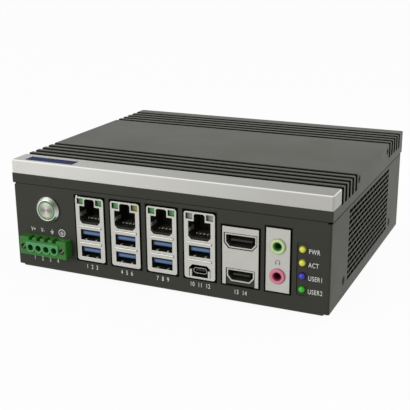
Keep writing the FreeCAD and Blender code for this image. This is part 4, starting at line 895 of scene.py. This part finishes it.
def headphone_mark():
    """A headphone sign between the two jacks: a band and two ear pieces."""
    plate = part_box("audio_plate")[0]
    centre = (middle("audio_jack_green") + middle("audio_jack_pink")) / 2
    level = centre.z - HEADBAND_DROP
    marks = [printed_ring(HEADBAND_RADIUS, centre.x, plate.y, level, lowest=HEADBAND_LOWEST)]
    for side in (-1, 1):
        across = centre.x + side * EAR_ASIDE
        marks.append(printed_bar(EAR_WIDTH, EAR_HEIGHT, across, plate.y, level - EAR_DROP))
    joined(marks, "headphone_mark", screen_ink("plate_ink", linear(128, 126, 120)))


# Stage, light and camera

CAMERA_AZIMUTH = 24.41
CAMERA_ELEVATION = 17.36
CAMERA_ROLL = -0.45
CAMERA_DISTANCE = 509.73 * MM
CAMERA_TARGET = Vector((0.0, -17.51, 33.92)) * MM
FOCAL_PIXELS = 853.0
FRAME_PIXELS = 410
SENSOR_WIDTH = 36.0
FLOOR_SIZE, FLOOR_DROP = 12.0, 0.1 * MM
FLOOR_GLOW = 0.95
FLOOR_SEEN, FLOOR_BOUNCE = (0.95, 0.95, 0.95, 1), (0.42, 0.42, 0.42, 1)
WHITE = (1, 1, 1, 1)
SKY_LIGHT = 0.54
SOFT_BOXES = {
    "rear_right": {
        "place": (0.27, 0.30, 0.26), "target": (0.095, 0.07, 0.05), "size": 0.25, "power": 0.4},
    "front": {
        "place": (-0.7, -1.2, 0.5), "target": (0.0, 0.0, 0.03), "size": 0.8, "power": 8.5},
}


def camera():
    """The camera at the photograph's angle, for a square picture."""
    deselected()
    bpy.ops.object.camera_add()
    lens = bpy.context.object
    lens.name = "product_camera"
    turn = (
        Matrix.Rotation(math.radians(CAMERA_AZIMUTH), 4, "Z")
        @ Matrix.Rotation(math.radians(90 - CAMERA_ELEVATION), 4, "X")
        @ Matrix.Rotation(math.radians(CAMERA_ROLL), 4, "Z")
    )
    back = turn @ Vector((0, 0, 1))
    lens.matrix_world = Matrix.Translation(CAMERA_TARGET + back * CAMERA_DISTANCE) @ turn
    lens.data.sensor_width = SENSOR_WIDTH
    lens.data.lens = FOCAL_PIXELS / FRAME_PIXELS * SENSOR_WIDTH
    lens.data.clip_start = 0.01
    lens.data.clip_end = 20.0
    bpy.context.scene.camera = lens


def soft_box(name, place, target, size, power):
    """A square lamp that looks at a target."""
    deselected()
    bpy.ops.object.light_add(type="AREA")
    lamp = bpy.context.object
    lamp.name = name
    lamp.data.shape = "SQUARE"
    lamp.data.size = size
    lamp.data.energy = power
    place = Vector(place)
    aim = (place - Vector(target)).to_track_quat("Z", "Y")
    lamp.matrix_world = Matrix.Translation(place) @ aim.to_matrix().to_4x4()


def seen_directly(tree):
    """One for what the camera, a reflection or a clear body sees, zero for light on things."""
    ray = Shade(tree.nodes.new("ShaderNodeLightPath").outputs["Is Camera Ray"])
    glossy, clear = ray.sibling("Is Glossy Ray"), ray.sibling("Is Transmission Ray")
    return ray.maths("MAXIMUM", ray, ray.maths("MAXIMUM", glossy, clear))


def pale_floor():
    """A pale sheet that looks white to the camera and keeps a faint shadow."""
    deselected()
    bpy.ops.mesh.primitive_plane_add(size=FLOOR_SIZE, location=(0, 0, -FLOOR_DROP))
    floor = bpy.context.object
    floor.name = "floor"
    material, place = new_material("floor_paper", Roughness=0.9, Specular_IOR_Level=0.1)
    tree = material.node_tree
    seen = seen_directly(tree)
    feed(material, Base_Color=blend(seen, FLOOR_BOUNCE, FLOOR_SEEN))
    paper = Shade(tree.nodes["Principled BSDF"].outputs[0])
    glow = place.node("ShaderNodeEmission", {}, {"Color": WHITE, "Strength": 1.0})
    sheet = place.node("ShaderNodeMixShader", {}, {0: seen * FLOOR_GLOW, 1: paper, 2: glow})
    tree.links.new(sheet.socket, tree.nodes["Material Output"].inputs["Surface"])
    floor.data.materials.append(material)


def white_world():
    """A sky that looks white and gives a plain, even light."""
    world = bpy.data.worlds.new("studio")
    bpy.context.scene.world = world
    world.use_nodes = True
    tree = world.node_tree
    background = tree.nodes["Background"]
    background.inputs["Color"].default_value = WHITE
    strength = SKY_LIGHT + seen_directly(tree) * (1 - SKY_LIGHT)
    tree.links.new(strength.socket, background.inputs["Strength"])


def studio():
    """White surroundings, a pale floor, two soft boxes and the camera."""
    bpy.context.scene.view_settings.view_transform = "Standard"
    white_world()
    pale_floor()
    for name, settings in SOFT_BOXES.items():
        soft_box(name, **settings)
    camera()


dress_nodes()
vented_sides()
panel_print()
headphone_mark()
studio()
